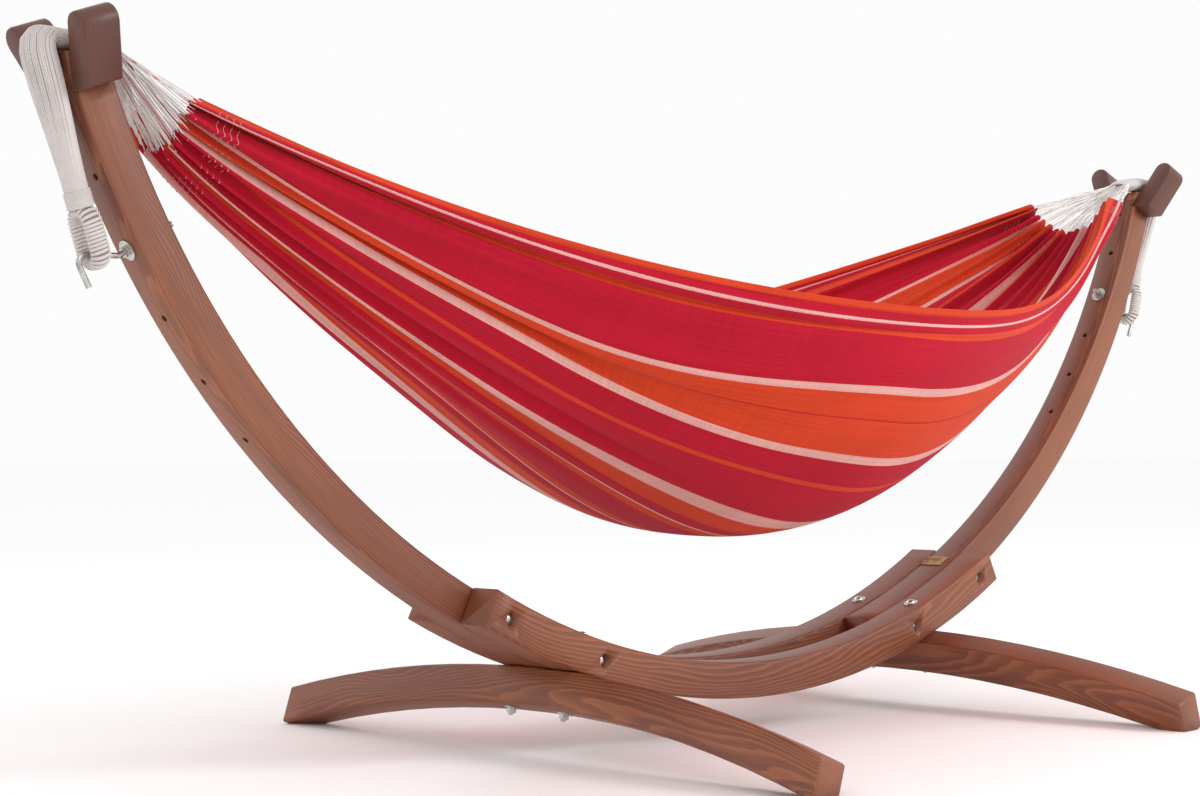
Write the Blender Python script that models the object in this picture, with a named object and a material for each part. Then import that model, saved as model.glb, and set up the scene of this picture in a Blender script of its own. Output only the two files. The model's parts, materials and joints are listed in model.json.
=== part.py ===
"""Hammock on a curved wooden stand, modelled at full size in metres, +Z up.

X runs along the stand from mast to mast, Y across it, and Z = 0 is the ground.
The masts and rails follow one big circle in the XZ plane. A place on it is given by
its arc length from the lowest point, and by how far out from the circle it lies.
"""
import math

import bmesh
import bpy
from mathutils import Matrix, Vector

# ---- driving dimensions, metres ----
GAP = 0.0003                # kept between any two touching pieces
ARC_RADIUS = 1.308          # centre line of the masts and rails
BEAM_DEPTH = 0.058          # radial size of masts and rails
MAST_THICK = 0.058          # along Y
RAIL_THICK = 0.058          # along Y
EDGE_ROUND = 0.004          # rounding of the long edges of the beams
RAIL_HALF_ARC = 0.6355      # from the middle of a rail to its end
MAST_START_ARC = 0.3365     # lower end of a mast, between the rails
SHOULDER_ARC = 1.578        # where the fork blocks are let into the mast
TIP_ARC = 1.6298            # top of a mast's outer face, where its level saddle starts
TIP_SPARE_ARC = 0.03        # beam beyond that, sawn off level

FOOT_LENGTH = 1.156         # along Y
FOOT_WIDTH = 0.0545         # along the rails
FOOT_DEPTH = 0.059
FOOT_ARCH_RADIUS = 2.2      # of the foot's top edge
FOOT_ARC = 0.4209           # where the feet cross under the rails
FOOT_EDGE_ROUND = 0.004
GROUND_CUT = 0.014          # how much of each lowest corner is planed off flat

BLOCK_THICK = 0.037
BLOCK_DEPTH = 0.054
BLOCK_OUTSET = 0.004        # how far the blocks sit out from the circle
BLOCK_LENGTH = 0.112        # from the shoulder to the rounded top
BLOCK_LEAN = math.radians(24.5)
BLOCK_EDGE_ROUND = 0.003
TONGUE_HALF = 0.0186        # half of the mast left between the blocks at the shoulder

BOLT_R = 0.004
BOLT_CLEARANCE = 0.0005     # radial, of a bolt in its hole
HEAD_R = 0.0085
HEAD_HEIGHT = 0.005
WASHER_R = 0.0105
WASHER_THICK = 0.0016
NUT_R = 0.0075              # across the corners, half
NUT_HEIGHT = 0.0065
THREAD_PAST_NUT = 0.004
COUNTERBORE_R = 0.0115
COUNTERBORE_DEPTH = 0.012
RAIL_BOLT_ARCS = {"outer": 0.593, "inner": 0.390}
FOOT_WASHER_R = 0.0125

HOOK_R = 0.004
HOOK_HOLE_CLEARANCE = 0.001
HOOK_HOLE_ARC = 1.4705      # the highest hole of the row
HOOK_HOLE_PITCH = 0.100
HOOK_HOLE_COUNT = 5
HOOK_HOLE_USED = 1          # counted down from the highest
HOOK_WASHER_R = 0.0145
HOOK_THREAD_INSIDE = 0.018  # threaded end past the mast's inner face
HOOK_NECK = 0.004           # straight end past the outer nut
HOOK_NECK_BEND_R = 0.014
HOOK_REACH = 0.042          # level run that the eye hangs on
HOOK_BEND_R = 0.012
HOOK_TURN = math.radians(118)
HOOK_TAIL = 0.028
PILOT_R = 0.0025
PILOT_BELOW_SHOULDER = 0.018

PLATE_SIZE = (0.031, 0.044)  # along the mast, across it
PLATE_THICK = 0.0012
PLATE_ARC = 0.595
PLATE_OFFSET = 0.006         # across the mast

ROPE_CREST_HALF = (0.014, 0.031)   # half thickness, half width over the saddle
ROPE_BACK_HALF = (0.012, 0.030)    # the same, behind the mast's tip
ROPE_NECK_R = 0.0155
ROPE_BACK_CLEARANCE = 0.009        # between the rope and the mast's outer edge
EYE_LENGTH = 0.082
EYE_SPREAD = 0.017                 # half the distance between the two legs
EYE_HALF_THICK = 0.006
EYE_HALF_WIDE = 0.0135
EYE_ALONG_REACH = {-1: 0.76, 1: 0.82}  # where on the hook's level run the eye hangs
EYE_PLAY = 0.0022                  # between the hook's rod and the eye that leans on it
WHIPPING_LENGTH = 0.016
WHIPPING_WALL = 0.0025

FAN_LENGTH = {-1: 0.0886, 1: 0.1746}  # along X, from the swing axis point to the cloth
BED_THICK = 0.005
BED_NEAR_HALF_WIDTH = 0.486        # the -Y hem at the middle
BED_FAR_HALF_WIDTH = 0.535         # the +Y hem at the middle
BED_NEAR_HEM_DROP = 0.316          # below the swing axis, at the middle
BED_FAR_HEM_DROP = 0.328
BED_BOTTOM_DROP = 0.665
BED_END_BOTTOM_DROP = 0.151
BED_END_LIFT = 0.037               # further rise of the bottom, close to each end
BED_END_LIFT_POWER = 8
BED_END_HALF_WIDTH = {-1: 0.066, 1: 0.095}
BED_END_HEM_DROP = {-1: 0.061, 1: 0.045}
BED_SECTION_POWER = 0.874          # makes the section fuller than an ellipse below 1
BED_SECTION_BULGE = -0.171
WIDTH_EASE = 0.25                  # how softly the outline turns at the middle
BOTTOM_EASE = 0.20
FAR_HEM_EASE = 0.40
FAN_THICK = 0.004
FAN_GAP = 0.001
AXIS_INSET = 0.014                 # swing axis point, inward of the saddle's inner edge
AXIS_RISE = 0.0135                 # and above the saddle
ROPE_SADDLE_GAP = 0.002            # under the rope where it crosses the mast's tip
FAN_ROOT_HALF = (0.010, 0.022)     # the fan at the saddle: half thickness, half width

# ---- derived sizes ----
RAIL_CENTRE_Y = MAST_THICK / 2 + GAP + RAIL_THICK / 2
RAIL_OUTER_Y = RAIL_CENTRE_Y + RAIL_THICK / 2
FOOT_ANGLE = FOOT_ARC / ARC_RADIUS
FOOT_TOP_OUT = BEAM_DEPTH / 2 + GAP


def foot_top(y):
    """Height of the foot's top edge above its middle, in the foot's own frame."""
    return math.sqrt(FOOT_ARCH_RADIUS ** 2 - y * y) - FOOT_ARCH_RADIUS


def foot_bottom(y):
    inner = FOOT_ARCH_RADIUS - FOOT_DEPTH
    return math.sqrt(inner ** 2 - y * y) - FOOT_ARCH_RADIUS


def circle_height():
    """Height of the big circle's centre, so that the planed foot corners meet Z = 0."""
    corner_out = ARC_RADIUS + FOOT_TOP_OUT - foot_bottom(FOOT_LENGTH / 2)
    drop = corner_out * math.cos(FOOT_ANGLE) + FOOT_WIDTH / 2 * math.sin(FOOT_ANGLE)
    return drop - GROUND_CUT


CENTRE_Z = circle_height()


def place(side, arc, out=0.0, y=0.0):
    """A point on the stand. side is -1 for the left half and 1 for the right."""
    angle = arc / ARC_RADIUS
    radius = ARC_RADIUS + out
    return Vector((side * radius * math.sin(angle), y, CENTRE_Z - radius * math.cos(angle)))


def along(side, arc):
    """Unit direction up the arc."""
    angle = arc / ARC_RADIUS
    return Vector((side * math.cos(angle), 0, math.sin(angle)))


def outward(side, arc):
    """Unit direction away from the circle's centre."""
    angle = arc / ARC_RADIUS
    return Vector((side * math.sin(angle), 0, -math.cos(angle)))


def basis(origin, z_axis, x_axis):
    """A right-handed placing matrix from two of its axes."""
    z_dir = z_axis.normalized()
    x_dir = (x_axis - z_dir * x_axis.dot(z_dir)).normalized()
    y_dir = z_dir.cross(x_dir)
    turn = Matrix((x_dir, y_dir, z_dir)).transposed().to_4x4()
    return Matrix.Translation(origin) @ turn


# ---- materials ----
def material(name, color, roughness, metallic=0.0):
    mat = bpy.data.materials.new(name)
    mat.use_nodes = True
    shader = mat.node_tree.nodes["Principled BSDF"]
    shader.inputs["Base Color"].default_value = (*color, 1.0)
    shader.inputs["Roughness"].default_value = roughness
    shader.inputs["Metallic"].default_value = metallic
    return mat


def make_materials():
    return {
        "wood": material("stained_pine", (0.235, 0.085, 0.040), 0.5),
        "end_wood": material("dark_stained_pine", (0.120, 0.040, 0.022), 0.55),
        "zinc": material("zinc_plate", (0.62, 0.62, 0.60), 0.3, 1.0),
        "plate": material("brass_plate", (0.62, 0.52, 0.33), 0.35, 1.0),
        "rope": material("cotton_rope", (0.70, 0.66, 0.62), 0.95),
        "fabric": material("striped_cotton", (0.45, 0.03, 0.05), 0.9),
    }


# ---- object helpers ----
def add_object(name, data, mat, matrix=None):
    obj = bpy.data.objects.new(name, data)
    bpy.context.scene.collection.objects.link(obj)
    if mat is not None and not data.materials:
        data.materials.append(mat)
    if matrix is not None:
        obj.matrix_world = matrix
    return obj


def finish_mesh(bm, name, smooth=True):
    bmesh.ops.recalc_face_normals(bm, faces=bm.faces)
    mesh = bpy.data.meshes.new(name)
    bm.to_mesh(mesh)
    bm.free()
    if smooth:
        mesh.shade_smooth()
        mesh.set_sharp_from_angle(angle=math.radians(35))
    return mesh


def turned(name, profile, steps=16, closed=False):
    """A solid of revolution about Z. profile is a list of (radius, height)."""
    bm = bmesh.new()
    verts = [bm.verts.new((r, 0, h)) for r, h in profile]
    edges = [bm.edges.new(pair) for pair in zip(verts, verts[1:])]
    if closed:
        edges.append(bm.edges.new((verts[-1], verts[0])))
    bmesh.ops.spin(bm, geom=verts + edges, cent=(0, 0, 0), axis=(0, 0, 1),
                   angle=2 * math.pi, steps=steps)
    bmesh.ops.remove_doubles(bm, verts=bm.verts, dist=1e-6)
    return finish_mesh(bm, name)


def skinned(name, rings, closed):
    """A solid through a row of vertex rings. Open rows get a flat cap at each end."""
    bm = bmesh.new()
    loops = [[bm.verts.new(p) for p in ring] for ring in rings]
    pairs = list(zip(loops, loops[1:]))
    if closed:
        pairs.append((loops[-1], loops[0]))
    for low, high in pairs:
        for i in range(len(low)):
            bm.faces.new((low[i - 1], low[i], high[i], high[i - 1]))
    if not closed:
        bmesh.ops.holes_fill(bm, edges=bm.edges, sides=0)
    return finish_mesh(bm, name)


def oval(matrix, half_x, half_y, count):
    """Points of an ellipse in a matrix's XY plane."""
    turn = [2 * math.pi * i / count for i in range(count)]
    return [matrix @ Vector((half_x * math.cos(a), half_y * math.sin(a), 0)) for a in turn]


def cutter(name, bodies, target):
    """One hidden mesh of separate solids, cut from target by a Boolean."""
    bm = bmesh.new()
    for add_body in bodies:
        add_body(bm)
    bmesh.ops.recalc_face_normals(bm, faces=bm.faces)
    mesh = bpy.data.meshes.new(name)
    bm.to_mesh(mesh)
    bm.free()
    obj = add_object(name, mesh, None)
    obj.hide_render = True
    obj.display_type = "WIRE"
    cut = target.modifiers.new(name, "BOOLEAN")
    cut.operation = "DIFFERENCE"
    cut.object = obj
    return obj


def drill(start, direction, length, radius, segments=12):
    """A round cutter body from start along direction."""
    def add_body(bm):
        side_axis = Vector((0, 1, 0))
        if abs(direction.y) > 0.9:
            side_axis = Vector((1, 0, 0))
        middle = start + direction * length / 2
        bmesh.ops.create_cone(bm, cap_ends=True, segments=segments, radius1=radius,
                              radius2=radius, depth=length,
                              matrix=basis(middle, direction, side_axis))
    return add_body


def prism(corners, sweep):
    """A cutter body: a flat outline swept along a vector."""
    def add_body(bm):
        face = bm.faces.new([bm.verts.new(p) for p in corners])
        grown = bmesh.ops.extrude_face_region(bm, geom=[face])
        top = [v for v in grown["geom"] if isinstance(v, bmesh.types.BMVert)]
        bmesh.ops.translate(bm, verts=top, vec=sweep)
    return add_body


# ---- beams ----
def rounded_section(half_out, half_y, rounding, centre_y):
    """Section of a beam as (out, y) points, with three points at each corner."""
    points = []
    for corner in range(4):
        turn = corner * math.pi / 2
        sign_out = 1 if corner in (0, 3) else -1
        sign_y = 1 if corner in (0, 1) else -1
        centre = (sign_out * (half_out - rounding), sign_y * (half_y - rounding))
        for step in range(3):
            a = turn + step * math.pi / 4
            points.append((centre[0] + rounding * math.cos(a),
                           centre_y + centre[1] + rounding * math.sin(a)))
    return points


def arc_beam(name, side, arc_from, arc_to, half_y, centre_y, steps, mat):
    """A beam of rounded section, spun along the big circle."""
    bm = bmesh.new()
    section = rounded_section(BEAM_DEPTH / 2, half_y, EDGE_ROUND, centre_y)
    verts = [bm.verts.new(place(side, arc_from, out, y)) for out, y in section]
    edges = [bm.edges.new((verts[i - 1], verts[i])) for i in range(len(verts))]
    bmesh.ops.spin(bm, geom=verts + edges, cent=(0, 0, CENTRE_Z), axis=(0, -side, 0),
                   angle=(arc_to - arc_from) / ARC_RADIUS, steps=steps)
    bmesh.ops.holes_fill(bm, edges=bm.edges, sides=0)
    return add_object(name, finish_mesh(bm, name), mat)


def side_name(side):
    return "left" if side < 0 else "right"


def face_name(row):
    return "front" if row < 0 else "rear"


def block_point(side, row, outline_y, outline_up, out):
    """A point of the fork, from its shoulder on the circle."""
    base = place(side, SHOULDER_ARC)
    return (base + along(side, SHOULDER_ARC) * outline_up
            + outward(side, SHOULDER_ARC) * out + Vector((0, row * outline_y, 0)))


def make_mast(side, mats):
    name = side_name(side) + "_mast"
    mast = arc_beam(name, side, MAST_START_ARC, TIP_ARC + TIP_SPARE_ARC, MAST_THICK / 2, 0.0,
                    38, mats["wood"])
    bodies = []
    margin = 0.02
    for index in range(HOOK_HOLE_COUNT):
        arc = HOOK_HOLE_ARC - index * HOOK_HOLE_PITCH
        start = place(side, arc, -BEAM_DEPTH / 2 - margin)
        bodies.append(drill(start, outward(side, arc), BEAM_DEPTH + 2 * margin,
                            HOOK_R + HOOK_HOLE_CLEARANCE))
    arc = SHOULDER_ARC - PILOT_BELOW_SHOULDER
    start = place(side, arc, -BEAM_DEPTH / 2 - margin)
    bodies.append(drill(start, outward(side, arc), BEAM_DEPTH + 2 * margin, PILOT_R, 8))
    for arc in RAIL_BOLT_ARCS.values():
        start = place(side, arc, 0, -MAST_THICK)
        bodies.append(drill(start, Vector((0, 1, 0)), 2 * MAST_THICK,
                            BOLT_R + BOLT_CLEARANCE))
    reach = BLOCK_LENGTH
    for row in (-1, 1):
        outline = [(TONGUE_HALF - GAP, 0), (TONGUE_HALF - GAP + reach * math.tan(BLOCK_LEAN), reach),
                   (MAST_THICK * 2, reach), (MAST_THICK * 2, 0)]
        corners = [block_point(side, row, y, up, -BEAM_DEPTH) for y, up in outline]
        bodies.append(prism(corners, outward(side, SHOULDER_ARC) * 2 * BEAM_DEPTH))
    cutter(name + "_cuts", bodies, mast)
    outer = place(side, TIP_ARC, BEAM_DEPTH / 2)
    half = 2 * BEAM_DEPTH
    corners = [outer + Vector((x * half, y * half, 0))
               for x, y in ((-1, -1), (1, -1), (1, 1), (-1, 1))]
    cutter(name + "_saddle_cut", [prism(corners, Vector((0, 0, half)))], mast)
    return mast


def make_rail(row, mats):
    name = face_name(row) + "_rail"
    rail = arc_beam(name, 1, -RAIL_HALF_ARC, RAIL_HALF_ARC, RAIL_THICK / 2,
                    row * RAIL_CENTRE_Y, 36, mats["wood"])
    bodies = []
    across = Vector((0, row, 0))
    overrun = 0.02
    for side in (-1, 1):
        for arc in RAIL_BOLT_ARCS.values():
            bodies.append(drill(place(side, arc), across, RAIL_OUTER_Y + overrun,
                                BOLT_R + BOLT_CLEARANCE))
        arc = FOOT_ARC
        start = place(side, arc, -BEAM_DEPTH, row * RAIL_CENTRE_Y)
        bodies.append(drill(start, outward(side, arc), 2 * BEAM_DEPTH,
                            BOLT_R + BOLT_CLEARANCE))
    cutter(name + "_bolt_holes", bodies, rail)
    sinks = []
    for side in (-1, 1):
        for arc in RAIL_BOLT_ARCS.values():
            start = place(side, arc, 0, row * (RAIL_OUTER_Y - COUNTERBORE_DEPTH))
            sinks.append(drill(start, across, COUNTERBORE_DEPTH + overrun, COUNTERBORE_R, 20))
    cutter(name + "_counterbores", sinks, rail)
    return rail


# ---- feet ----
def foot_point(side, t, y, up):
    """A point in the foot's frame: along the rails, across the stand, and up."""
    base = place(side, FOOT_ARC, FOOT_TOP_OUT)
    return (base + along(side, FOOT_ARC) * t - outward(side, FOOT_ARC) * up
            + Vector((0, y, 0)))


def make_foot(side, mats):
    name = side_name(side) + "_foot"
    steps = 18
    stations = [FOOT_LENGTH * (i / steps - 0.5) for i in range(steps + 1)]
    outline = [(y, foot_top(y)) for y in stations]
    outline += [(y, foot_bottom(y)) for y in reversed(stations)]
    bm = bmesh.new()
    prism([foot_point(side, -FOOT_WIDTH / 2, y, up) for y, up in outline],
          along(side, FOOT_ARC) * FOOT_WIDTH)(bm)
    foot = add_object(name, finish_mesh(bm, name), mats["wood"])
    edge = foot.modifiers.new("edge_round", "BEVEL")
    edge.width = FOOT_EDGE_ROUND
    edge.segments = 2
    edge.limit_method = "ANGLE"
    edge.angle_limit = math.radians(40)
    bodies = []
    for row in (-1, 1):
        start = foot_point(side, 0, row * RAIL_CENTRE_Y, FOOT_DEPTH)
        bodies.append(drill(start, outward(side, FOOT_ARC), 3 * FOOT_DEPTH,
                            BOLT_R + BOLT_CLEARANCE))
        wide = 0.2
        deep = 0.1
        middle = foot_point(side, 0, row * FOOT_LENGTH / 2, 0)
        corners = [Vector((middle.x - wide, middle.y - wide, -deep)),
                   Vector((middle.x + wide, middle.y - wide, -deep)),
                   Vector((middle.x + wide, middle.y + wide, -deep)),
                   Vector((middle.x - wide, middle.y + wide, -deep))]
        bodies.append(prism(corners, Vector((0, 0, deep))))
    cutter(name + "_cuts", bodies, foot)
    return foot


# ---- fork blocks ----
def make_fork_block(side, row, mats):
    """A leaning block with a round top, let into the side of the mast's tip."""
    name = side_name(side) + "_" + face_name(row) + "_fork_block"
    lean = Vector((math.sin(BLOCK_LEAN), math.cos(BLOCK_LEAN)))
    across = Vector((math.cos(BLOCK_LEAN), -math.sin(BLOCK_LEAN)))
    inner_foot = Vector((TONGUE_HALF, GAP))
    outer_foot = Vector((TONGUE_HALF + BLOCK_THICK / math.cos(BLOCK_LEAN), GAP))
    top_centre = inner_foot + lean * (BLOCK_LENGTH - BLOCK_THICK / 2) + across * BLOCK_THICK / 2
    outline = [outer_foot, inner_foot]
    arc_steps = 8
    for step in range(arc_steps + 1):
        a = math.pi * (1 - step / arc_steps)
        outline.append(top_centre + across * math.cos(a) * BLOCK_THICK / 2
                       + lean * math.sin(a) * BLOCK_THICK / 2)
    bm = bmesh.new()
    corners = [block_point(side, row, p.x, p.y, BLOCK_OUTSET - BLOCK_DEPTH / 2) for p in outline]
    prism(corners, outward(side, SHOULDER_ARC) * BLOCK_DEPTH)(bm)
    block = add_object(name, finish_mesh(bm, name), mats["end_wood"])
    edge = block.modifiers.new("edge_round", "BEVEL")
    edge.width = BLOCK_EDGE_ROUND
    edge.segments = 2
    edge.limit_method = "ANGLE"
    edge.angle_limit = math.radians(40)
    return block


# ---- fasteners ----
def nut_mesh(hole_r):
    """A hexagon nut: its rings have twelve points, so that corners and flats alternate."""
    count = 12
    rings = []
    flat = math.cos(math.pi / 6)
    for inner, height in ((False, 0.0), (False, NUT_HEIGHT), (True, NUT_HEIGHT), (True, 0.0)):
        ring = []
        for i in range(count):
            a = 2 * math.pi * i / count
            radius = hole_r if inner else NUT_R * (1 if i % 2 == 0 else flat)
            ring.append(Vector((radius * math.cos(a), radius * math.sin(a), height)))
        rings.append(ring)
    return skinned("hex_nut", rings, closed=True)


def washer_mesh(name, outer_r, hole_r):
    profile = [(hole_r, 0), (outer_r, 0), (outer_r, WASHER_THICK), (hole_r, WASHER_THICK)]
    return turned(name, profile, 16, closed=True)


def bolt_mesh(name, grip):
    """A round-headed bolt. Z = 0 is under the head, and the shank runs along +Z."""
    dome_steps = 3
    profile = []
    for step in range(dome_steps + 1):
        a = math.pi / 2 * (1 - step / dome_steps)
        profile.append((HEAD_R * math.cos(a), -HEAD_HEIGHT * math.sin(a)))
    length = grip + NUT_HEIGHT + THREAD_PAST_NUT
    profile += [(BOLT_R, 0), (BOLT_R, length - 0.001), (BOLT_R - 0.001, length), (0, length)]
    return turned(name, profile, 12)


def make_rail_fasteners(mats):
    """Bolts through front rail, mast and rear rail, sunk in counterbores."""
    seat_y = RAIL_OUTER_Y - COUNTERBORE_DEPTH
    nut_seat = seat_y + GAP + WASHER_THICK
    bolt = bolt_mesh("rail_bolt_mesh", seat_y + GAP + nut_seat + GAP)
    washer = washer_mesh("rail_washer_mesh", WASHER_R, BOLT_R + BOLT_CLEARANCE)
    nut = nut_mesh(BOLT_R + GAP)
    for side in (-1, 1):
        for spot, arc in RAIL_BOLT_ARCS.items():
            label = side_name(side) + "_" + spot
            across = Vector((0, 1, 0))
            head = place(side, arc, 0, -seat_y - GAP)
            add_object(label + "_rail_bolt", bolt, mats["zinc"],
                       basis(head, across, along(side, arc)))
            seat = place(side, arc, 0, seat_y + GAP)
            add_object(label + "_rail_washer", washer, mats["zinc"],
                       basis(seat, across, along(side, arc)))
            seat = place(side, arc, 0, nut_seat + GAP)
            add_object(label + "_rail_nut", nut, mats["zinc"],
                       basis(seat, across, along(side, arc)))


def make_foot_fasteners(mats):
    """Bolts down through a rail and a foot, with a washer at each end."""
    top_out = -BEAM_DEPTH / 2 - GAP
    low_y = RAIL_CENTRE_Y + FOOT_WASHER_R
    bottom_out = FOOT_TOP_OUT - foot_bottom(low_y) + GAP
    head_out = top_out - WASHER_THICK - GAP
    nut_out = bottom_out + WASHER_THICK + GAP
    bolt = bolt_mesh("foot_bolt_mesh", nut_out - head_out)
    washer = washer_mesh("foot_washer_mesh", FOOT_WASHER_R, BOLT_R + BOLT_CLEARANCE)
    nut = nut_mesh(BOLT_R + GAP)
    for side in (-1, 1):
        down = outward(side, FOOT_ARC)
        for row in (-1, 1):
            label = side_name(side) + "_" + face_name(row)
            y = row * RAIL_CENTRE_Y
            across = Vector((0, 1, 0))
            add_object(label + "_foot_bolt", bolt, mats["zinc"],
                       basis(place(side, FOOT_ARC, head_out, y), down, across))
            add_object(label + "_foot_bolt_washer", washer, mats["zinc"],
                       basis(place(side, FOOT_ARC, top_out, y), -down, across))
            add_object(label + "_foot_nut_washer", washer, mats["zinc"],
                       basis(place(side, FOOT_ARC, bottom_out, y), down, across))
            add_object(label + "_foot_nut", nut, mats["zinc"],
                       basis(place(side, FOOT_ARC, nut_out, y), down, across))


# ---- hooks ----
def bent_path(start, heading, moves):
    """Centre line of a rod bent in one plane. It is given and returned as (across, up).

    heading is the angle above level. A move is (length,) or (radius, turn).
    """
    points = [Vector(start)]
    for move in moves:
        if len(move) == 1:
            step = Vector((math.cos(heading), math.sin(heading))) * move[0]
            points.append(points[-1] + step)
            continue
        radius, turn = move
        parts = max(3, round(abs(turn) / math.radians(20)))
        side = 1 if turn > 0 else -1
        centre = points[-1] + Vector((-math.sin(heading), math.cos(heading))) * radius * side
        for _ in range(parts):
            heading += turn / parts
            offset = Vector((math.sin(heading), -math.cos(heading))) * radius * side
            points.append(centre + offset)
    return points


HOOK_ARC = HOOK_HOLE_ARC - HOOK_HOLE_USED * HOOK_HOLE_PITCH
HOOK_DROP = math.pi / 2 - HOOK_ARC / ARC_RADIUS


def hook_path():
    """The hook's centre line on the right half, as (x, z) points."""
    inside = place(1, HOOK_ARC, -BEAM_DEPTH / 2 - HOOK_THREAD_INSIDE)
    shank = HOOK_THREAD_INSIDE + BEAM_DEPTH + 2 * GAP + WASHER_THICK + NUT_HEIGHT + HOOK_NECK
    moves = [(shank,), (HOOK_NECK_BEND_R, HOOK_DROP), (HOOK_REACH,),
             (HOOK_BEND_R, -HOOK_TURN), (HOOK_TAIL,)]
    return bent_path((inside.x, inside.z), -HOOK_DROP, moves)


def level_run():
    """Start and end of the level run that the eye hangs on, as (x, z)."""
    path = hook_path()
    neck_parts = max(3, round(HOOK_DROP / math.radians(20)))
    start = path[1 + neck_parts]
    return start, path[2 + neck_parts]


def make_hook(side, mats):
    label = side_name(side)
    data = bpy.data.curves.new(label + "_hook", "CURVE")
    data.dimensions = "3D"
    data.bevel_depth = HOOK_R
    data.bevel_resolution = 3
    data.use_fill_caps = True
    path = hook_path()
    spline = data.splines.new("POLY")
    spline.points.add(len(path) - 1)
    for point, spot in zip(spline.points, path):
        point.co = (side * spot.x, 0, spot.y, 1)
    add_object(label + "_hook", data, mats["zinc"])
    washer = washer_mesh(label + "_hook_washer_mesh", HOOK_WASHER_R, HOOK_R + BOLT_CLEARANCE)
    nut = nut_mesh(HOOK_R + GAP)
    across = Vector((0, 1, 0))
    for spot, sign in (("inner", -1), ("outer", 1)):
        direction = outward(side, HOOK_ARC) * sign
        washer_out = sign * (BEAM_DEPTH / 2 + GAP)
        nut_out = sign * (BEAM_DEPTH / 2 + 2 * GAP + WASHER_THICK)
        add_object(label + "_" + spot + "_hook_washer", washer, mats["zinc"],
                   basis(place(side, HOOK_ARC, washer_out), direction, across))
        add_object(label + "_" + spot + "_hook_nut", nut, mats["zinc"],
                   basis(place(side, HOOK_ARC, nut_out), direction, across))


# ---- ropes ----
def flat_frame(side, spot, heading):
    """Placing matrix whose Z runs along heading in the XZ plane, and whose Y is world Y."""
    forward = Vector((side * heading.x, 0, heading.y))
    normal = Vector((0, 1, 0)).cross(forward)
    return basis(Vector((side * spot.x, 0, spot.y)), forward, normal)


def eye_anchor(side):
    """Where the eye hangs on the hook, as (x, z) mirrored to the right half."""
    start, end = level_run()
    return start.lerp(end, EYE_ALONG_REACH[side])


def saddle_edges():
    """The inner and outer edges of the mast's level top, as (x, z) on the right half."""
    outer = place(1, TIP_ARC, BEAM_DEPTH / 2)
    inner_radius = ARC_RADIUS - BEAM_DEPTH / 2
    inner_x = math.sqrt(inner_radius ** 2 - (CENTRE_Z - outer.z) ** 2)
    return Vector((inner_x, outer.z)), Vector((outer.x, outer.z))


def swing_point():
    """Where the swing axis meets the saddle, as (x, z) on the right half."""
    inner, _ = saddle_edges()
    return inner + Vector((-AXIS_INSET, AXIS_RISE))


def eye_bottom(side):
    """Lowest point of the eye's inner hole, just under the hook's rod."""
    down, _ = rope_line(side)
    return eye_anchor(side) + down * (HOOK_R + EYE_PLAY)


def rope_line(side):
    """Unit direction of the rope behind the mast, from its tip down to the hook."""
    _, outer = saddle_edges()
    start = outer + Vector((ROPE_BACK_HALF[0] + ROPE_BACK_CLEARANCE, 0))
    return (eye_anchor(side) - start).normalized(), start


def make_rope_tail(side, mats):
    """The gathered strings from the saddle, over the tip and down to the whipping."""
    down, behind = rope_line(side)
    inner, outer = saddle_edges()
    over = ROPE_CREST_HALF[0] + ROPE_SADDLE_GAP
    corner_out = Vector((1, 1)).normalized() * (over + ROPE_BACK_CLEARANCE)
    neck_at = eye_bottom(side) - down * (EYE_LENGTH - EYE_HALF_THICK * 2 + GAP)
    start = swing_point()
    stations = [
        (start, Vector((1, 0)), ROPE_CREST_HALF),
        (inner + Vector((0.006, over)), Vector((1, 0.06)).normalized(), ROPE_CREST_HALF),
        (outer + Vector((-0.012, over)), Vector((1, -0.15)).normalized(), ROPE_CREST_HALF),
        (outer + corner_out, Vector((0.65, -0.76)).normalized(), ROPE_BACK_HALF),
        (behind + down * 0.012, down, ROPE_BACK_HALF),
    ]
    top = behind + down * 0.012
    drop = (neck_at - top).length
    for share in (0.3, 0.6, 0.85, 1.0):
        ease = share * share * (3 - 2 * share)
        thick = ROPE_BACK_HALF[0] + (ROPE_NECK_R - ROPE_BACK_HALF[0]) * ease
        wide = ROPE_BACK_HALF[1] + (ROPE_NECK_R - ROPE_BACK_HALF[1]) * ease
        stations.append((top + down * drop * share, down, (thick, wide)))
    rings = [oval(flat_frame(side, spot, heading), half[0], half[1], 16)
             for spot, heading, half in stations]
    name = side_name(side) + "_rope_tail"
    add_object(name, skinned(name, rings, closed=False), mats["rope"])


def make_whipping(side, mats):
    """The cord wound round the neck of the rope, just above its eye."""
    down, _ = rope_line(side)
    end = eye_bottom(side) - down * (EYE_LENGTH - EYE_HALF_THICK * 2 + GAP)
    hole = ROPE_NECK_R + 0.0012
    outer = hole + WHIPPING_WALL
    profile = [(hole, 0), (outer - 0.001, 0), (outer, 0.001),
               (outer, WHIPPING_LENGTH - 0.001), (outer - 0.001, WHIPPING_LENGTH),
               (hole, WHIPPING_LENGTH)]
    name = side_name(side) + "_whipping"
    add_object(name, turned(name, profile, 16, closed=True), mats["rope"],
               flat_frame(side, end, -down))


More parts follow.
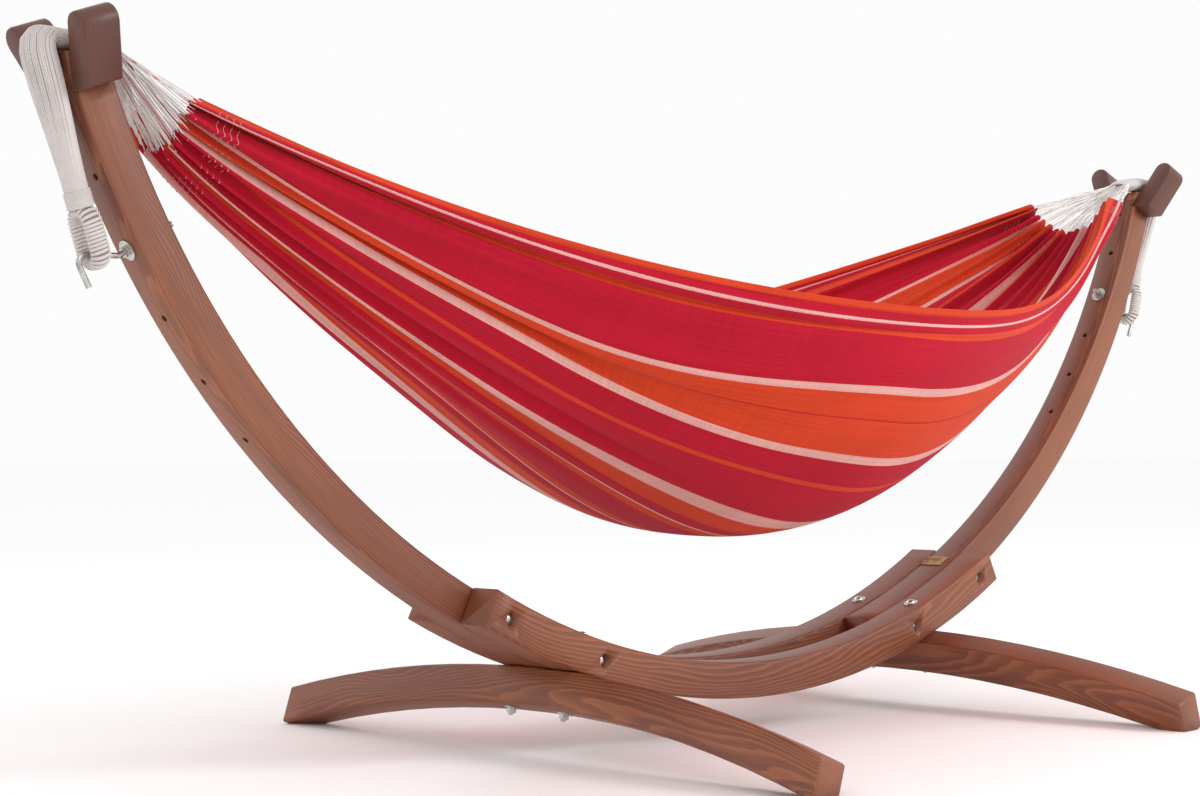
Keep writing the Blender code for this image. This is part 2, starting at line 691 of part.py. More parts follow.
def make_eye(side, mats):
    """The bound loop that hangs on the hook, a long ring across the stand."""
    down, _ = rope_line(side)
    bottom = eye_bottom(side) + down * EYE_HALF_THICK
    straight = EYE_LENGTH - 2 * (EYE_SPREAD + EYE_HALF_THICK)
    frame = flat_frame(side, bottom - down * (EYE_SPREAD + straight / 2), down)
    rings = []
    steps = 7
    for end in (1, -1):
        for step in range(steps + 1):
            a = math.pi * step / steps
            y = end * EYE_SPREAD * math.cos(a)
            z = end * (straight / 2 + EYE_SPREAD * math.sin(a))
            ahead = Vector((0, -end * math.sin(a), end * math.cos(a)))
            local = basis(Vector((0, y, z)), ahead, Vector((1, 0, 0)))
            rings.append(oval(frame @ local, EYE_HALF_WIDE, EYE_HALF_THICK, 10))
    name = side_name(side) + "_eye_loop"
    add_object(name, skinned(name, rings, closed=True), mats["rope"])


# ---- hammock ----
def ease(share, softness):
    """0 at the middle and 1 at the end, straight but for a soft turn at the middle."""
    low = math.sqrt(share * share + softness * softness) - softness
    return low / (math.sqrt(1 + softness * softness) - softness)


def bed_point(s, t):
    """A point of the cloth. s runs from -1 to 1 along X, and t from the -Y hem to the +Y hem."""
    end = -1 if s < 0 else 1
    share = abs(s)
    widths = (BED_NEAR_HALF_WIDTH, BED_FAR_HALF_WIDTH)
    middle_half = widths[0] if t < 0 else widths[1]
    end_half = BED_END_HALF_WIDTH[end]
    half = end_half + (middle_half - end_half) * (1 - ease(share, WIDTH_EASE))
    hem_drop = BED_NEAR_HEM_DROP if t < 0 else BED_FAR_HEM_DROP
    hem_rise = share * share if t < 0 else ease(share, FAR_HEM_EASE)
    hem = hem_drop + (BED_END_HEM_DROP[end] - hem_drop) * hem_rise
    bottom = BED_BOTTOM_DROP + (BED_END_BOTTOM_DROP - BED_BOTTOM_DROP) * ease(share, BOTTOM_EASE)
    bottom -= BED_END_LIFT * share ** BED_END_LIFT_POWER
    angle = t * math.pi / 2
    power = BED_SECTION_POWER
    axis = swing_point()
    z = axis.y - hem - (bottom - hem) * math.cos(angle) ** power
    y = half * abs(math.sin(angle)) ** power * (1 + BED_SECTION_BULGE * math.cos(angle))
    left_x = FAN_LENGTH[-1] - axis.x
    right_x = axis.x - FAN_LENGTH[1]
    x = left_x + (right_x - left_x) * (s + 1) / 2
    return Vector((x, math.copysign(y, t), z))


def sheet_object(name, rows, thickness, mat):
    """A thin closed shell through a grid of points, thickened by Solidify."""
    bm = bmesh.new()
    grid = [[bm.verts.new(p) for p in row] for row in rows]
    for low, high in zip(grid, grid[1:]):
        for i in range(len(low) - 1):
            bm.faces.new((low[i], low[i + 1], high[i + 1], high[i]))
    bmesh.ops.recalc_face_normals(bm, faces=bm.faces)
    mesh = bpy.data.meshes.new(name)
    bm.to_mesh(mesh)
    bm.free()
    mesh.shade_smooth()
    obj = add_object(name, mesh, mat)
    wall = obj.modifiers.new("wall", "SOLIDIFY")
    wall.thickness = thickness
    wall.offset = 0
    return obj


def section_shares(count):
    """t values from hem to hem, closer together at the hems."""
    return [math.sin(math.pi / 2 * (2 * i / count - 1)) for i in range(count + 1)]


def make_bed(mats):
    long_steps = 36
    rows = []
    for i in range(long_steps + 1):
        s = 2 * i / long_steps - 1
        rows.append([bed_point(s, t) for t in section_shares(14)])
    sheet_object("hammock_bed", rows, BED_THICK, mats["fabric"])


def make_string_fan(side, mats):
    """The strings between the saddle and the cloth, as one thin open trough."""
    root = swing_point()
    half_thick, half_wide = FAN_ROOT_HALF
    shares = section_shares(14)
    rows = []
    steps = 6
    for step in range(steps + 1):
        share = step / steps
        row = []
        for t in shares:
            angle = t * math.pi / 2
            narrow = Vector((side * (root.x - GAP - FAN_THICK / 2), half_wide * math.sin(angle),
                             root.y - half_thick * math.cos(angle) + half_thick / 2))
            wide = bed_point(side, t)
            wide.x += side * (FAN_GAP + (BED_THICK + FAN_THICK) / 2)
            row.append(narrow.lerp(wide, share))
        rows.append(row)
    name = side_name(side) + "_string_fan"
    sheet_object(name, rows, FAN_THICK, mats["rope"])


# ---- nameplate ----
def make_plate(mats):
    half = (PLATE_SIZE[0] / 2, PLATE_SIZE[1] / 2, PLATE_THICK / 2)
    bm = bmesh.new()
    bmesh.ops.create_cube(bm, size=1, matrix=Matrix.Diagonal((*[2 * h for h in half], 1)))
    spot = place(1, PLATE_ARC, -BEAM_DEPTH / 2 - 2 * GAP - PLATE_THICK / 2, PLATE_OFFSET)
    frame = basis(spot, -outward(1, PLATE_ARC), along(1, PLATE_ARC))
    add_object("blank_plate", finish_mesh(bm, "blank_plate", smooth=False), mats["plate"], frame)


def main():
    for obj in list(bpy.data.objects):
        bpy.data.objects.remove(obj)
    mats = make_materials()
    for row in (-1, 1):
        make_rail(row, mats)
    for side in (-1, 1):
        make_mast(side, mats)
        make_foot(side, mats)
        for row in (-1, 1):
            make_fork_block(side, row, mats)
        make_hook(side, mats)
        make_rope_tail(side, mats)
        make_whipping(side, mats)
        make_eye(side, mats)
        make_string_fan(side, mats)
    make_rail_fasteners(mats)
    make_foot_fasteners(mats)
    make_plate(mats)
    make_bed(mats)


main()
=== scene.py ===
"""Finish of the hammock on its curved wooden stand: wood, zinc, striped cloth and strings.

X runs from the left mast to the right mast, Y from the front rail to the rear rail, Z up.
The masts and rails follow one big circle in the XZ plane.
"""

import json
import math
import random

import bmesh
import bpy
import numpy as np
from mathutils import Euler, Matrix, Vector, noise


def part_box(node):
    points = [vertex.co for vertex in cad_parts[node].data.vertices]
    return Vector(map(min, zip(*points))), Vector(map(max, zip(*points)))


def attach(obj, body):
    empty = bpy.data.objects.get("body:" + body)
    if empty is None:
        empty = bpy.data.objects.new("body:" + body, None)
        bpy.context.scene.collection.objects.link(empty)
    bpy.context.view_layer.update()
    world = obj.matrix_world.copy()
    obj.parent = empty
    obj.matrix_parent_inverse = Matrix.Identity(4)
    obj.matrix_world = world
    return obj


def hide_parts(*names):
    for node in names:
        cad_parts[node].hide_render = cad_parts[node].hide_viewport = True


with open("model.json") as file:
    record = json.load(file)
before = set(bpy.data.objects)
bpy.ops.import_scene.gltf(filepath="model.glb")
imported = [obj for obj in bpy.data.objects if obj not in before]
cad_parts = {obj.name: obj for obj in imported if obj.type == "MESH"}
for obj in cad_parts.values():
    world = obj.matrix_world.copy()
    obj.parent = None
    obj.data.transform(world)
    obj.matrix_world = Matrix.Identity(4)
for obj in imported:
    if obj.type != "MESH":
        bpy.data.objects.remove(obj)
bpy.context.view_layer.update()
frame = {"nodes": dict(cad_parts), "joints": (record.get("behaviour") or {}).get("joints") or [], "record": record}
SIDES = {"left": -1, "right": 1}
ROWS = {"front": -1, "rear": 1}

# ---- the stand's geometry, metres ----
ARC_RADIUS = 1.308
BEAM = 0.058
CENTRE_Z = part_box("front_rail")[0].z + ARC_RADIUS + BEAM / 2
FOOT_ANGLE = math.radians(18.437)
FOOT_ARCH_RADIUS = 2.2
FORK_ANGLE = math.radians(69.12)
FORK_LEAN = math.radians(24.5)
HOOK_ANGLE = math.radians(60.03)
HOOK_ROD_R = 0.004
AXIS_Z = frame["joints"][0]["pos_m"][2]
AXIS_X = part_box("right_rope_tail")[0].x
TIP_ANGLE = math.radians(71.392)

# ---- the cloth as it hangs, metres ----
FLAT_WIDTH = 1.36
FLAT_LENGTH = 2.42
FAN_LENGTH = {-1: 0.0886, 1: 0.1746}
NEAR_HALF_WIDTH = 0.486
FAR_HALF_WIDTH = 0.535
NEAR_HEM_DROP = 0.316
FAR_HEM_DROP = 0.328
BOTTOM_DROP = 0.665
END_BOTTOM_DROP = 0.151
END_LIFT = 0.037
END_LIFT_POWER = 8
END_HALF_WIDTH = {-1: 0.066, 1: 0.095}
END_HEM_DROP = {-1: 0.061, 1: 0.045}
SECTION_POWER = 0.874
SECTION_BULGE = -0.171
WIDTH_EASE = 0.25
BOTTOM_EASE = 0.20
FAR_HEM_EASE = 0.40
CLOTH_THICK = 0.0016
LENGTH_STEPS = 148
WIDTH_STEPS = 300
LOBE_DEPTH = 0.0130
LOBE_REACH = 0.024
PLEAT_DEPTH = 0.0030

# Where the left end is drawn into deep folds: share of the width, half width, strength,
# and the s at which the fold opens out.
TUCKS = ((0.0385, 0.016, 0.62, 0.10), (0.185, 0.062, 0.84, -0.18))
# Where one gathered lobe ends and the next begins, as shares of the cloth's width.
LOBE_EDGES = {
    -1: (0, 0.035, 0.125, 0.205, 0.27, 0.335, 0.40, 0.465, 0.53, 0.60, 0.67, 0.75, 0.84, 0.95, 1),
    1: (0, 0.05, 0.13, 0.21, 0.29, 0.37, 0.44, 0.51, 0.58, 0.65, 0.73, 0.81, 0.89, 0.955, 1),
}
# Long soft folds: share of the width, half width, depth, middle and half length along s.
LONG_FOLDS = (
    (0.0385, 0.009, -0.012, -0.50, 0.55),
    (0.090, 0.030, -0.016, -0.62, 0.42),
    (0.185, 0.034, -0.030, -0.68, 0.50),
    (0.115, 0.014, 0.006, -0.68, 0.45),
    (0.275, 0.016, 0.008, -0.60, 0.42),
    (0.330, 0.012, -0.010, -0.60, 0.38),
    (0.420, 0.020, -0.009, -0.60, 0.35),
    (0.560, 0.020, -0.010, -0.60, 0.35),
    (0.760, 0.020, -0.012, -0.60, 0.40),
    (0.900, 0.020, -0.012, -0.60, 0.40),
    (0.060, 0.022, -0.010, 0.80, 0.22),
    (0.180, 0.016, -0.008, 0.75, 0.25),
    (0.700, 0.018, 0.010, 0.70, 0.32),
    (0.800, 0.016, 0.012, 0.68, 0.34),
    (0.885, 0.016, 0.012, 0.66, 0.36),
    (0.950, 0.012, -0.010, 0.66, 0.36),
)

# Stripes from a hem to the middle, as (colour, width in metres). The other half mirrors them.
STRIPES = (
    ("orange", 0.0106), ("crimson", 0.0109), ("cream", 0.0071), ("crimson", 0.0143),
    ("orange", 0.0233), ("crimson", 0.1049), ("cream", 0.0133), ("orange", 0.0447),
    ("red", 0.0040), ("orange", 0.0655), ("cream", 0.0170), ("crimson", 0.0534),
    ("orange", 0.0093), ("crimson", 0.1083), ("cream", 0.0381), ("orange", 0.0495),
    ("crimson", 0.0330), ("cream", 0.0058), ("orange", 0.0233), ("crimson", 0.0437),
)


def srgb(red, green, blue):
    """A linear colour from display values of 0 to 255."""
    linear = []
    for value in (red, green, blue):
        share = value / 255
        linear.append(share / 12.92 if share <= 0.04045 else ((share + 0.055) / 1.055) ** 2.4)
    return (*linear, 1.0)


COLOURS = {
    "orange": srgb(206, 62, 30),
    "crimson": srgb(182, 15, 42),
    "red": srgb(184, 30, 32),
    "cream": srgb(222, 164, 156),
    "string_white": srgb(244, 239, 236),
    "rope_white": srgb(217, 208, 205),
    # Grey for the cores under the rope tail's strings and the eye's winding: painted shade that shows in the gaps
    # between strands.
    "core_painted_shade": srgb(140, 131, 127),
    "string_red": srgb(196, 48, 44),
    "pine_light": srgb(108, 56, 36),
    "pine_dark": srgb(166, 98, 60),
    "fork_light": srgb(76, 37, 27),
    "fork_dark": srgb(122, 68, 48),
    "zinc": srgb(205, 204, 200),
    "zinc_dull": srgb(140, 138, 132),
    "plate": srgb(176, 140, 96),
    "plate_dull": srgb(128, 92, 60),
    "floor": srgb(253, 253, 253),
}


# ---- places on the stand ----
def place(side, angle, out=0.0, y=0.0):
    radius = ARC_RADIUS + out
    return Vector((side * radius * math.sin(angle), y, CENTRE_Z - radius * math.cos(angle)))


def middle_of(node):
    low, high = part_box(node)
    return (low + high) / 2


def basis(origin, z_axis, x_axis):
    z_dir = z_axis.normalized()
    x_dir = (x_axis - z_dir * x_axis.dot(z_dir)).normalized()
    y_dir = z_dir.cross(x_dir)
    return Matrix.Translation(origin) @ Matrix((x_dir, y_dir, z_dir)).transposed().to_4x4()


# ---- node helpers ----
def add_node(tree, kind, **settings):
    """A node with its attributes set. A key that starts with in_ sets the input of that name."""
    made = tree.nodes.new(kind)
    for key, value in settings.items():
        if key.startswith("in_"):
            made.inputs[key[3:].replace("_", " ")].default_value = value
        else:
            setattr(made, key, value)
    return made


def feed(tree, source, target):
    """Joins a socket to a socket, or sets a plain value on it."""
    if isinstance(source, bpy.types.NodeSocket):
        tree.links.new(source, target)
    else:
        target.default_value = source


def calc(tree, operation, *values, clamp=False):
    made = add_node(tree, "ShaderNodeMath", operation=operation, use_clamp=clamp)
    for index, value in enumerate(values):
        feed(tree, value, made.inputs[index])
    return made.outputs[0]


def blend_colour(tree, share, first, second, kind="MIX"):
    made = add_node(tree, "ShaderNodeMix", data_type="RGBA", blend_type=kind)
    feed(tree, share, made.inputs[0])
    feed(tree, first, made.inputs[6])
    feed(tree, second, made.inputs[7])
    return made.outputs[2]


def band(tree, value, low, high, out_low=0.0, out_high=1.0):
    """A smooth ramp of a value between two limits."""
    made = add_node(tree, "ShaderNodeMapRange", interpolation_type="SMOOTHSTEP")
    for index, item in enumerate((value, low, high, out_low, out_high)):
        feed(tree, item, made.inputs[index])
    return made.outputs[0]


def scaled(tree, vector, factors):
    made = add_node(tree, "ShaderNodeVectorMath", operation="MULTIPLY")
    feed(tree, vector, made.inputs[0])
    made.inputs[1].default_value = factors
    return made.outputs[0]


def noise_value(tree, vector, scale, detail=2.0, roughness=0.5):
    made = add_node(tree, "ShaderNodeTexNoise", in_Scale=scale, in_Detail=detail,
                    in_Roughness=roughness)
    feed(tree, vector, made.inputs["Vector"])
    return made.outputs["Fac"]


def new_group(name, inputs, outputs):
    tree = bpy.data.node_groups.new(name, "ShaderNodeTree")
    for label, kind, value in inputs:
        socket = tree.interface.new_socket(name=label, in_out="INPUT", socket_type=kind)
        if value is not None:
            socket.default_value = value
    for label, kind in outputs:
        tree.interface.new_socket(name=label, in_out="OUTPUT", socket_type=kind)
    return tree, tree.nodes.new("NodeGroupInput").outputs, tree.nodes.new("NodeGroupOutput").inputs


def use_group(tree, group, **values):
    made = tree.nodes.new("ShaderNodeGroup")
    made.node_tree = group
    for key, value in values.items():
        feed(tree, value, made.inputs[key.replace("_", " ")])
    return made.outputs


FLOAT = "NodeSocketFloat"
VECTOR = "NodeSocketVector"
COLOR = "NodeSocketColor"


# ---- shared effects ----
def make_arc_group():
    """Turns object coordinates into length along the big circle, Y, and distance out of it."""
    tree, given, result = new_group(
        "arc_coordinates",
        (("Position", VECTOR, None), ("Centre Height", FLOAT, CENTRE_Z),
         ("Arc Radius", FLOAT, ARC_RADIUS)),
        (("Vector", VECTOR),))
    parts = add_node(tree, "ShaderNodeSeparateXYZ")
    feed(tree, given["Position"], parts.inputs[0])
    drop = calc(tree, "SUBTRACT", given["Centre Height"], parts.outputs["Z"])
    angle = calc(tree, "ARCTAN2", parts.outputs["X"], drop)
    across = calc(tree, "MULTIPLY", parts.outputs["X"], parts.outputs["X"])
    squares = calc(tree, "ADD", across, calc(tree, "MULTIPLY", drop, drop))
    joined = add_node(tree, "ShaderNodeCombineXYZ")
    feed(tree, calc(tree, "MULTIPLY", angle, given["Arc Radius"]), joined.inputs[0])
    feed(tree, parts.outputs["Y"], joined.inputs[1])
    radial = calc(tree, "SUBTRACT", calc(tree, "SQRT", squares), given["Arc Radius"])
    feed(tree, radial, joined.inputs[2])
    feed(tree, joined.outputs[0], result["Vector"])
    return tree


def make_foot_group():
    """Turns object coordinates into length along an arched foot, its width, and its height."""
    tree, given, result = new_group(
        "foot_coordinates",
        (("Position", VECTOR, None), ("Tilt", FLOAT, 0.0), ("Arch Radius", FLOAT, 2.2)),
        (("Vector", VECTOR),))
    turned = add_node(tree, "ShaderNodeVectorRotate", rotation_type="Y_AXIS")
    feed(tree, given["Position"], turned.inputs["Vector"])
    feed(tree, given["Tilt"], turned.inputs["Angle"])
    parts = add_node(tree, "ShaderNodeSeparateXYZ")
    feed(tree, turned.outputs[0], parts.inputs[0])
    length = parts.outputs["Y"]
    squared = calc(tree, "MULTIPLY", length, length)
    arch = calc(tree, "DIVIDE", squared, calc(tree, "MULTIPLY", given["Arch Radius"], 2.0))
    joined = add_node(tree, "ShaderNodeCombineXYZ")
    feed(tree, length, joined.inputs[0])
    feed(tree, parts.outputs["X"], joined.inputs[1])
    feed(tree, calc(tree, "ADD", parts.outputs["Z"], arch), joined.inputs[2])
    feed(tree, joined.outputs[0], result["Vector"])
    return tree


def make_pine_group():
    """Flat-sawn softwood under a translucent stain. X of the vector runs along the grain."""
    tree, given, result = new_group(
        "stained_pine",
        (("Vector", VECTOR, None), ("Offset", VECTOR, (0, 0, 0)), ("Light", COLOR, (1, 1, 1, 1)),
         ("Dark", COLOR, (0, 0, 0, 1)), ("Ring Spacing", FLOAT, 0.0031),
         ("Ring Strength", FLOAT, 0.6)),
        (("Color", COLOR), ("Roughness", FLOAT), ("Height", FLOAT)))
    shifted = add_node(tree, "ShaderNodeVectorMath", operation="ADD")
    feed(tree, given["Vector"], shifted.inputs[0])
    feed(tree, given["Offset"], shifted.inputs[1])
    spot = shifted.outputs[0]

    knots = add_node(tree, "ShaderNodeTexVoronoi", in_Scale=1.0, in_Randomness=1.0)
    feed(tree, scaled(tree, spot, (2.6, 9.0, 9.0)), knots.inputs["Vector"])
    near_knot = band(tree, knots.outputs["Distance"], 0.0, 0.42, 1.0, 0.0)
    knot_core = band(tree, knots.outputs["Distance"], 0.035, 0.085, 1.0, 0.0)

    wander = noise_value(tree, scaled(tree, spot, (1.3, 7.0, 7.0)), 1.0, 2.0)
    ripple = noise_value(tree, scaled(tree, spot, (7.0, 40.0, 40.0)), 1.0, 2.0)
    parts = add_node(tree, "ShaderNodeSeparateXYZ")
    feed(tree, spot, parts.inputs[0])
    side_way = calc(tree, "ADD", parts.outputs["Y"], 0.012)
    pith_way = calc(tree, "ADD", parts.outputs["Z"], 0.046)
    squares = calc(tree, "ADD", calc(tree, "MULTIPLY", side_way, side_way),
                   calc(tree, "MULTIPLY", pith_way, pith_way))
    rings = calc(tree, "ADD", calc(tree, "SQRT", squares),
                 calc(tree, "MULTIPLY", parts.outputs["X"], 0.012))
    rings = calc(tree, "ADD", rings, calc(tree, "MULTIPLY", wander, 0.060))
    rings = calc(tree, "ADD", rings, calc(tree, "MULTIPLY", ripple, 0.0050))
    rings = calc(tree, "ADD", rings, calc(tree, "MULTIPLY", near_knot, 0.016))
    phase = calc(tree, "FRACT", calc(tree, "DIVIDE", rings, given["Ring Spacing"]))
    late = calc(tree, "MULTIPLY", band(tree, phase, 0.30, 0.90),
                band(tree, phase, 0.93, 1.0, 1.0, 0.0))

    fibres = noise_value(tree, scaled(tree, spot, (9.0, 520.0, 520.0)), 1.0, 3.0, 0.6)
    mottle = noise_value(tree, scaled(tree, spot, (2.2, 9.0, 9.0)), 1.0, 3.0)
    share = calc(tree, "MULTIPLY", late, given["Ring Strength"])
    share = calc(tree, "ADD", share, band(tree, fibres, 0.40, 0.75, -0.05, 0.22))
    share = calc(tree, "ADD", share, band(tree, mottle, 0.35, 0.70, -0.06, 0.26), clamp=True)
    colour = blend_colour(tree, share, given["Light"], given["Dark"])
    colour = blend_colour(tree, calc(tree, "MULTIPLY", knot_core, 0.8), colour,
                          srgb(58, 28, 20))
    feed(tree, colour, result["Color"])
    feed(tree, calc(tree, "ADD", 0.42, calc(tree, "MULTIPLY", share, 0.16)), result["Roughness"])
    height = calc(tree, "ADD", calc(tree, "MULTIPLY", late, -0.6),
                  calc(tree, "MULTIPLY", fibres, 0.5))
    feed(tree, height, result["Height"])
    return tree


def make_weave_group():
    """Plain weave with uneven yarns; its relief is also painted into the colour as light and shade. U is across
    the cloth and V along it, both in metres.
    """
    tree, given, result = new_group(
        "plain_weave", (("UV", VECTOR, None), ("Threads per Metre", FLOAT, 620.0)),
        (("Shade", FLOAT), ("Height", FLOAT)))
    parts = add_node(tree, "ShaderNodeSeparateXYZ")
    feed(tree, given["UV"], parts.inputs[0])
    turn = calc(tree, "MULTIPLY", given["Threads per Metre"], 2 * math.pi)
    warp = calc(tree, "SINE", calc(tree, "MULTIPLY", parts.outputs["X"], turn))
    weft = calc(tree, "SINE", calc(tree, "MULTIPLY", parts.outputs["Y"], turn))
    height = calc(tree, "MULTIPLY", warp, weft)
    yarns = noise_value(tree, scaled(tree, given["UV"], (330.0, 3.0, 1.0)), 1.0, 2.0)
    picks = noise_value(tree, scaled(tree, given["UV"], (5.0, 260.0, 1.0)), 1.0, 2.0)
    blotch = noise_value(tree, scaled(tree, given["UV"], (9.0, 5.0, 1.0)), 1.0, 3.0)
    shade = calc(tree, "ADD", band(tree, yarns, 0.25, 0.75, -0.10, 0.10),
                 band(tree, picks, 0.25, 0.75, -0.06, 0.06))
    shade = calc(tree, "ADD", shade, band(tree, blotch, 0.3, 0.7, -0.05, 0.05))
    # The weave's relief also goes into the colour: painted highlight on the raised crossings and painted shade in
    # the hollows between them.
    shade = calc(tree, "ADD", shade, calc(tree, "MULTIPLY", height, 0.04))
    feed(tree, calc(tree, "ADD", shade, 1.0), result["Shade"])
    feed(tree, calc(tree, "ADD", height, yarns), result["Height"])
    return tree


def make_fibre_group():
    """Soft spun cotton: a fine twist and a few grey patches."""
    tree, given, result = new_group(
        "spun_cotton", (("Position", VECTOR, None), ("Clean", COLOR, (1, 1, 1, 1)),
                        ("Fibre Scale", FLOAT, 900.0)),
        (("Color", COLOR), ("Height", FLOAT)))
    fine = add_node(tree, "ShaderNodeTexNoise", in_Detail=2.0)
    feed(tree, given["Position"], fine.inputs["Vector"])
    feed(tree, given["Fibre Scale"], fine.inputs["Scale"])
    patches = noise_value(tree, given["Position"], 26.0, 3.0)
    shade = calc(tree, "ADD", band(tree, fine.outputs["Fac"], 0.3, 0.7, 0.86, 1.0),
                 band(tree, patches, 0.35, 0.7, 0.0, -0.10))
    grey = add_node(tree, "ShaderNodeCombineXYZ")
    for index in range(3):
        feed(tree, shade, grey.inputs[index])
    feed(tree, blend_colour(tree, 1.0, given["Clean"], grey.outputs[0], "MULTIPLY"),
         result["Color"])
    feed(tree, fine.outputs["Fac"], result["Height"])
    return tree


def make_metal_group():
    """Plated metal with faint spangle, rubbed spots and small scratches."""
    tree, given, result = new_group(
        "plated_metal", (("Position", VECTOR, None), ("Bright", COLOR, (1, 1, 1, 1)),
                         ("Dull", COLOR, (0, 0, 0, 1)), ("Smooth", FLOAT, 0.22)),
        (("Color", COLOR), ("Roughness", FLOAT), ("Height", FLOAT)))
    spangle = noise_value(tree, given["Position"], 420.0, 2.0)
    stain = noise_value(tree, given["Position"], 70.0, 3.0)
    scratch = noise_value(tree, scaled(tree, given["Position"], (2500.0, 300.0, 700.0)), 1.0, 1.0)
    share = calc(tree, "ADD", band(tree, stain, 0.42, 0.75, 0.0, 0.75),
                 band(tree, spangle, 0.4, 0.7, 0.0, 0.25), clamp=True)
    feed(tree, blend_colour(tree, share, given["Bright"], given["Dull"]), result["Color"])
    rough = calc(tree, "ADD", given["Smooth"], calc(tree, "MULTIPLY", share, 0.25))
    feed(tree, calc(tree, "ADD", rough, calc(tree, "MULTIPLY", scratch, 0.08)),
         result["Roughness"])
    feed(tree, scratch, result["Height"])
    return tree


GROUPS = {
    "arc": make_arc_group(),
    "foot": make_foot_group(),
    "pine": make_pine_group(),
    "weave": make_weave_group(),
    "fibre": make_fibre_group(),
    "metal": make_metal_group(),
}


# ---- materials ----
def new_material(name):
    mat = bpy.data.materials.new(name)
    mat.use_nodes = True
    tree = mat.node_tree
    return mat, tree, tree.nodes["Principled BSDF"]


def object_position(tree):
    return add_node(tree, "ShaderNodeTexCoord").outputs["Object"]


def add_bump(tree, shader, height, strength, distance):
    bump = add_node(tree, "ShaderNodeBump", in_Strength=strength, in_Distance=distance)
    feed(tree, height, bump.inputs["Height"])
    feed(tree, bump.outputs["Normal"], shader.inputs["Normal"])


def pine_material(name, vector_from, offset, light="pine_light", dark="pine_dark", strength=0.50):
    """Stained pine. vector_from makes the grain's coordinates in the material's tree."""
    mat, tree, shader = new_material(name)
    grain = use_group(tree, GROUPS["pine"], Vector=vector_from(tree), Offset=offset,
                      Light=COLOURS[light], Dark=COLOURS[dark], Ring_Strength=strength)
    feed(tree, grain["Color"], shader.inputs["Base Color"])
    feed(tree, grain["Roughness"], shader.inputs["Roughness"])
    shader.inputs["Coat Weight"].default_value = 0.12
    shader.inputs["Coat Roughness"].default_value = 0.45
    add_bump(tree, shader, grain["Height"], 0.35, 0.0004)
    return mat


def arc_vector(tree):
    return use_group(tree, GROUPS["arc"], Position=object_position(tree))["Vector"]


def foot_vector(side):
    def make(tree):
        return use_group(tree, GROUPS["foot"], Position=object_position(tree),
                         Tilt=side * FOOT_ANGLE, Arch_Radius=FOOT_ARCH_RADIUS)["Vector"]
    return make


def block_vector(side, row):
    """Grain along a leaning fork block."""
    direction = Euler((-row * FORK_LEAN, 0, 0)).to_matrix() @ Vector((0, 0, 1))
    lengthwise = Euler((0, side * (math.pi / 2 - FORK_ANGLE), 0)).to_matrix() @ direction
    turn = basis(Vector(), lengthwise, Vector((0, 1, 0))).inverted().to_euler()

    def make(tree):
        turned = add_node(tree, "ShaderNodeVectorRotate", rotation_type="EULER_XYZ")
        turned.inputs["Rotation"].default_value = turn
        feed(tree, object_position(tree), turned.inputs["Vector"])
        parts = add_node(tree, "ShaderNodeSeparateXYZ")
        feed(tree, turned.outputs[0], parts.inputs[0])
        joined = add_node(tree, "ShaderNodeCombineXYZ")
        feed(tree, parts.outputs["Z"], joined.inputs[0])
        feed(tree, parts.outputs["X"], joined.inputs[1])
        feed(tree, parts.outputs["Y"], joined.inputs[2])
        return joined.outputs[0]
    return make


def metal_material(name, bright, dull, smooth):
    mat, tree, shader = new_material(name)
    plated = use_group(tree, GROUPS["metal"], Position=object_position(tree),
                       Bright=COLOURS[bright], Dull=COLOURS[dull], Smooth=smooth)
    feed(tree, plated["Color"], shader.inputs["Base Color"])
    feed(tree, plated["Roughness"], shader.inputs["Roughness"])
    shader.inputs["Metallic"].default_value = 1.0
    add_bump(tree, shader, plated["Height"], 0.15, 0.0002)
    return mat


def cotton_material(name, colour):
    mat, tree, shader = new_material(name)
    spun = use_group(tree, GROUPS["fibre"], Position=object_position(tree), Clean=COLOURS[colour])
    feed(tree, spun["Color"], shader.inputs["Base Color"])
    shader.inputs["Roughness"].default_value = 0.92
    shader.inputs["Sheen Weight"].default_value = 0.15
    add_bump(tree, shader, spun["Height"], 0.4, 0.0003)
    return mat


def stripe_colour(tree, across):
    """The stripe's colour from the distance to a hem, mirrored about the cloth's middle."""
    half = FLAT_WIDTH / 2
    from_middle = calc(tree, "ABSOLUTE", calc(tree, "SUBTRACT", across, half))
    from_hem = calc(tree, "SUBTRACT", half, from_middle)
    ramp = add_node(tree, "ShaderNodeValToRGB")
    ramp.color_ramp.interpolation = "CONSTANT"
    elements = ramp.color_ramp.elements
    elements.remove(elements[1])
    start = 0.0
    for index, (colour, width) in enumerate(STRIPES):
        stop = elements[0] if index == 0 else elements.new(start / half)
        stop.position = start / half
        stop.color = COLOURS[colour]
        start += width
    feed(tree, calc(tree, "DIVIDE", from_hem, half), ramp.inputs[0])
    return ramp.outputs["Color"]


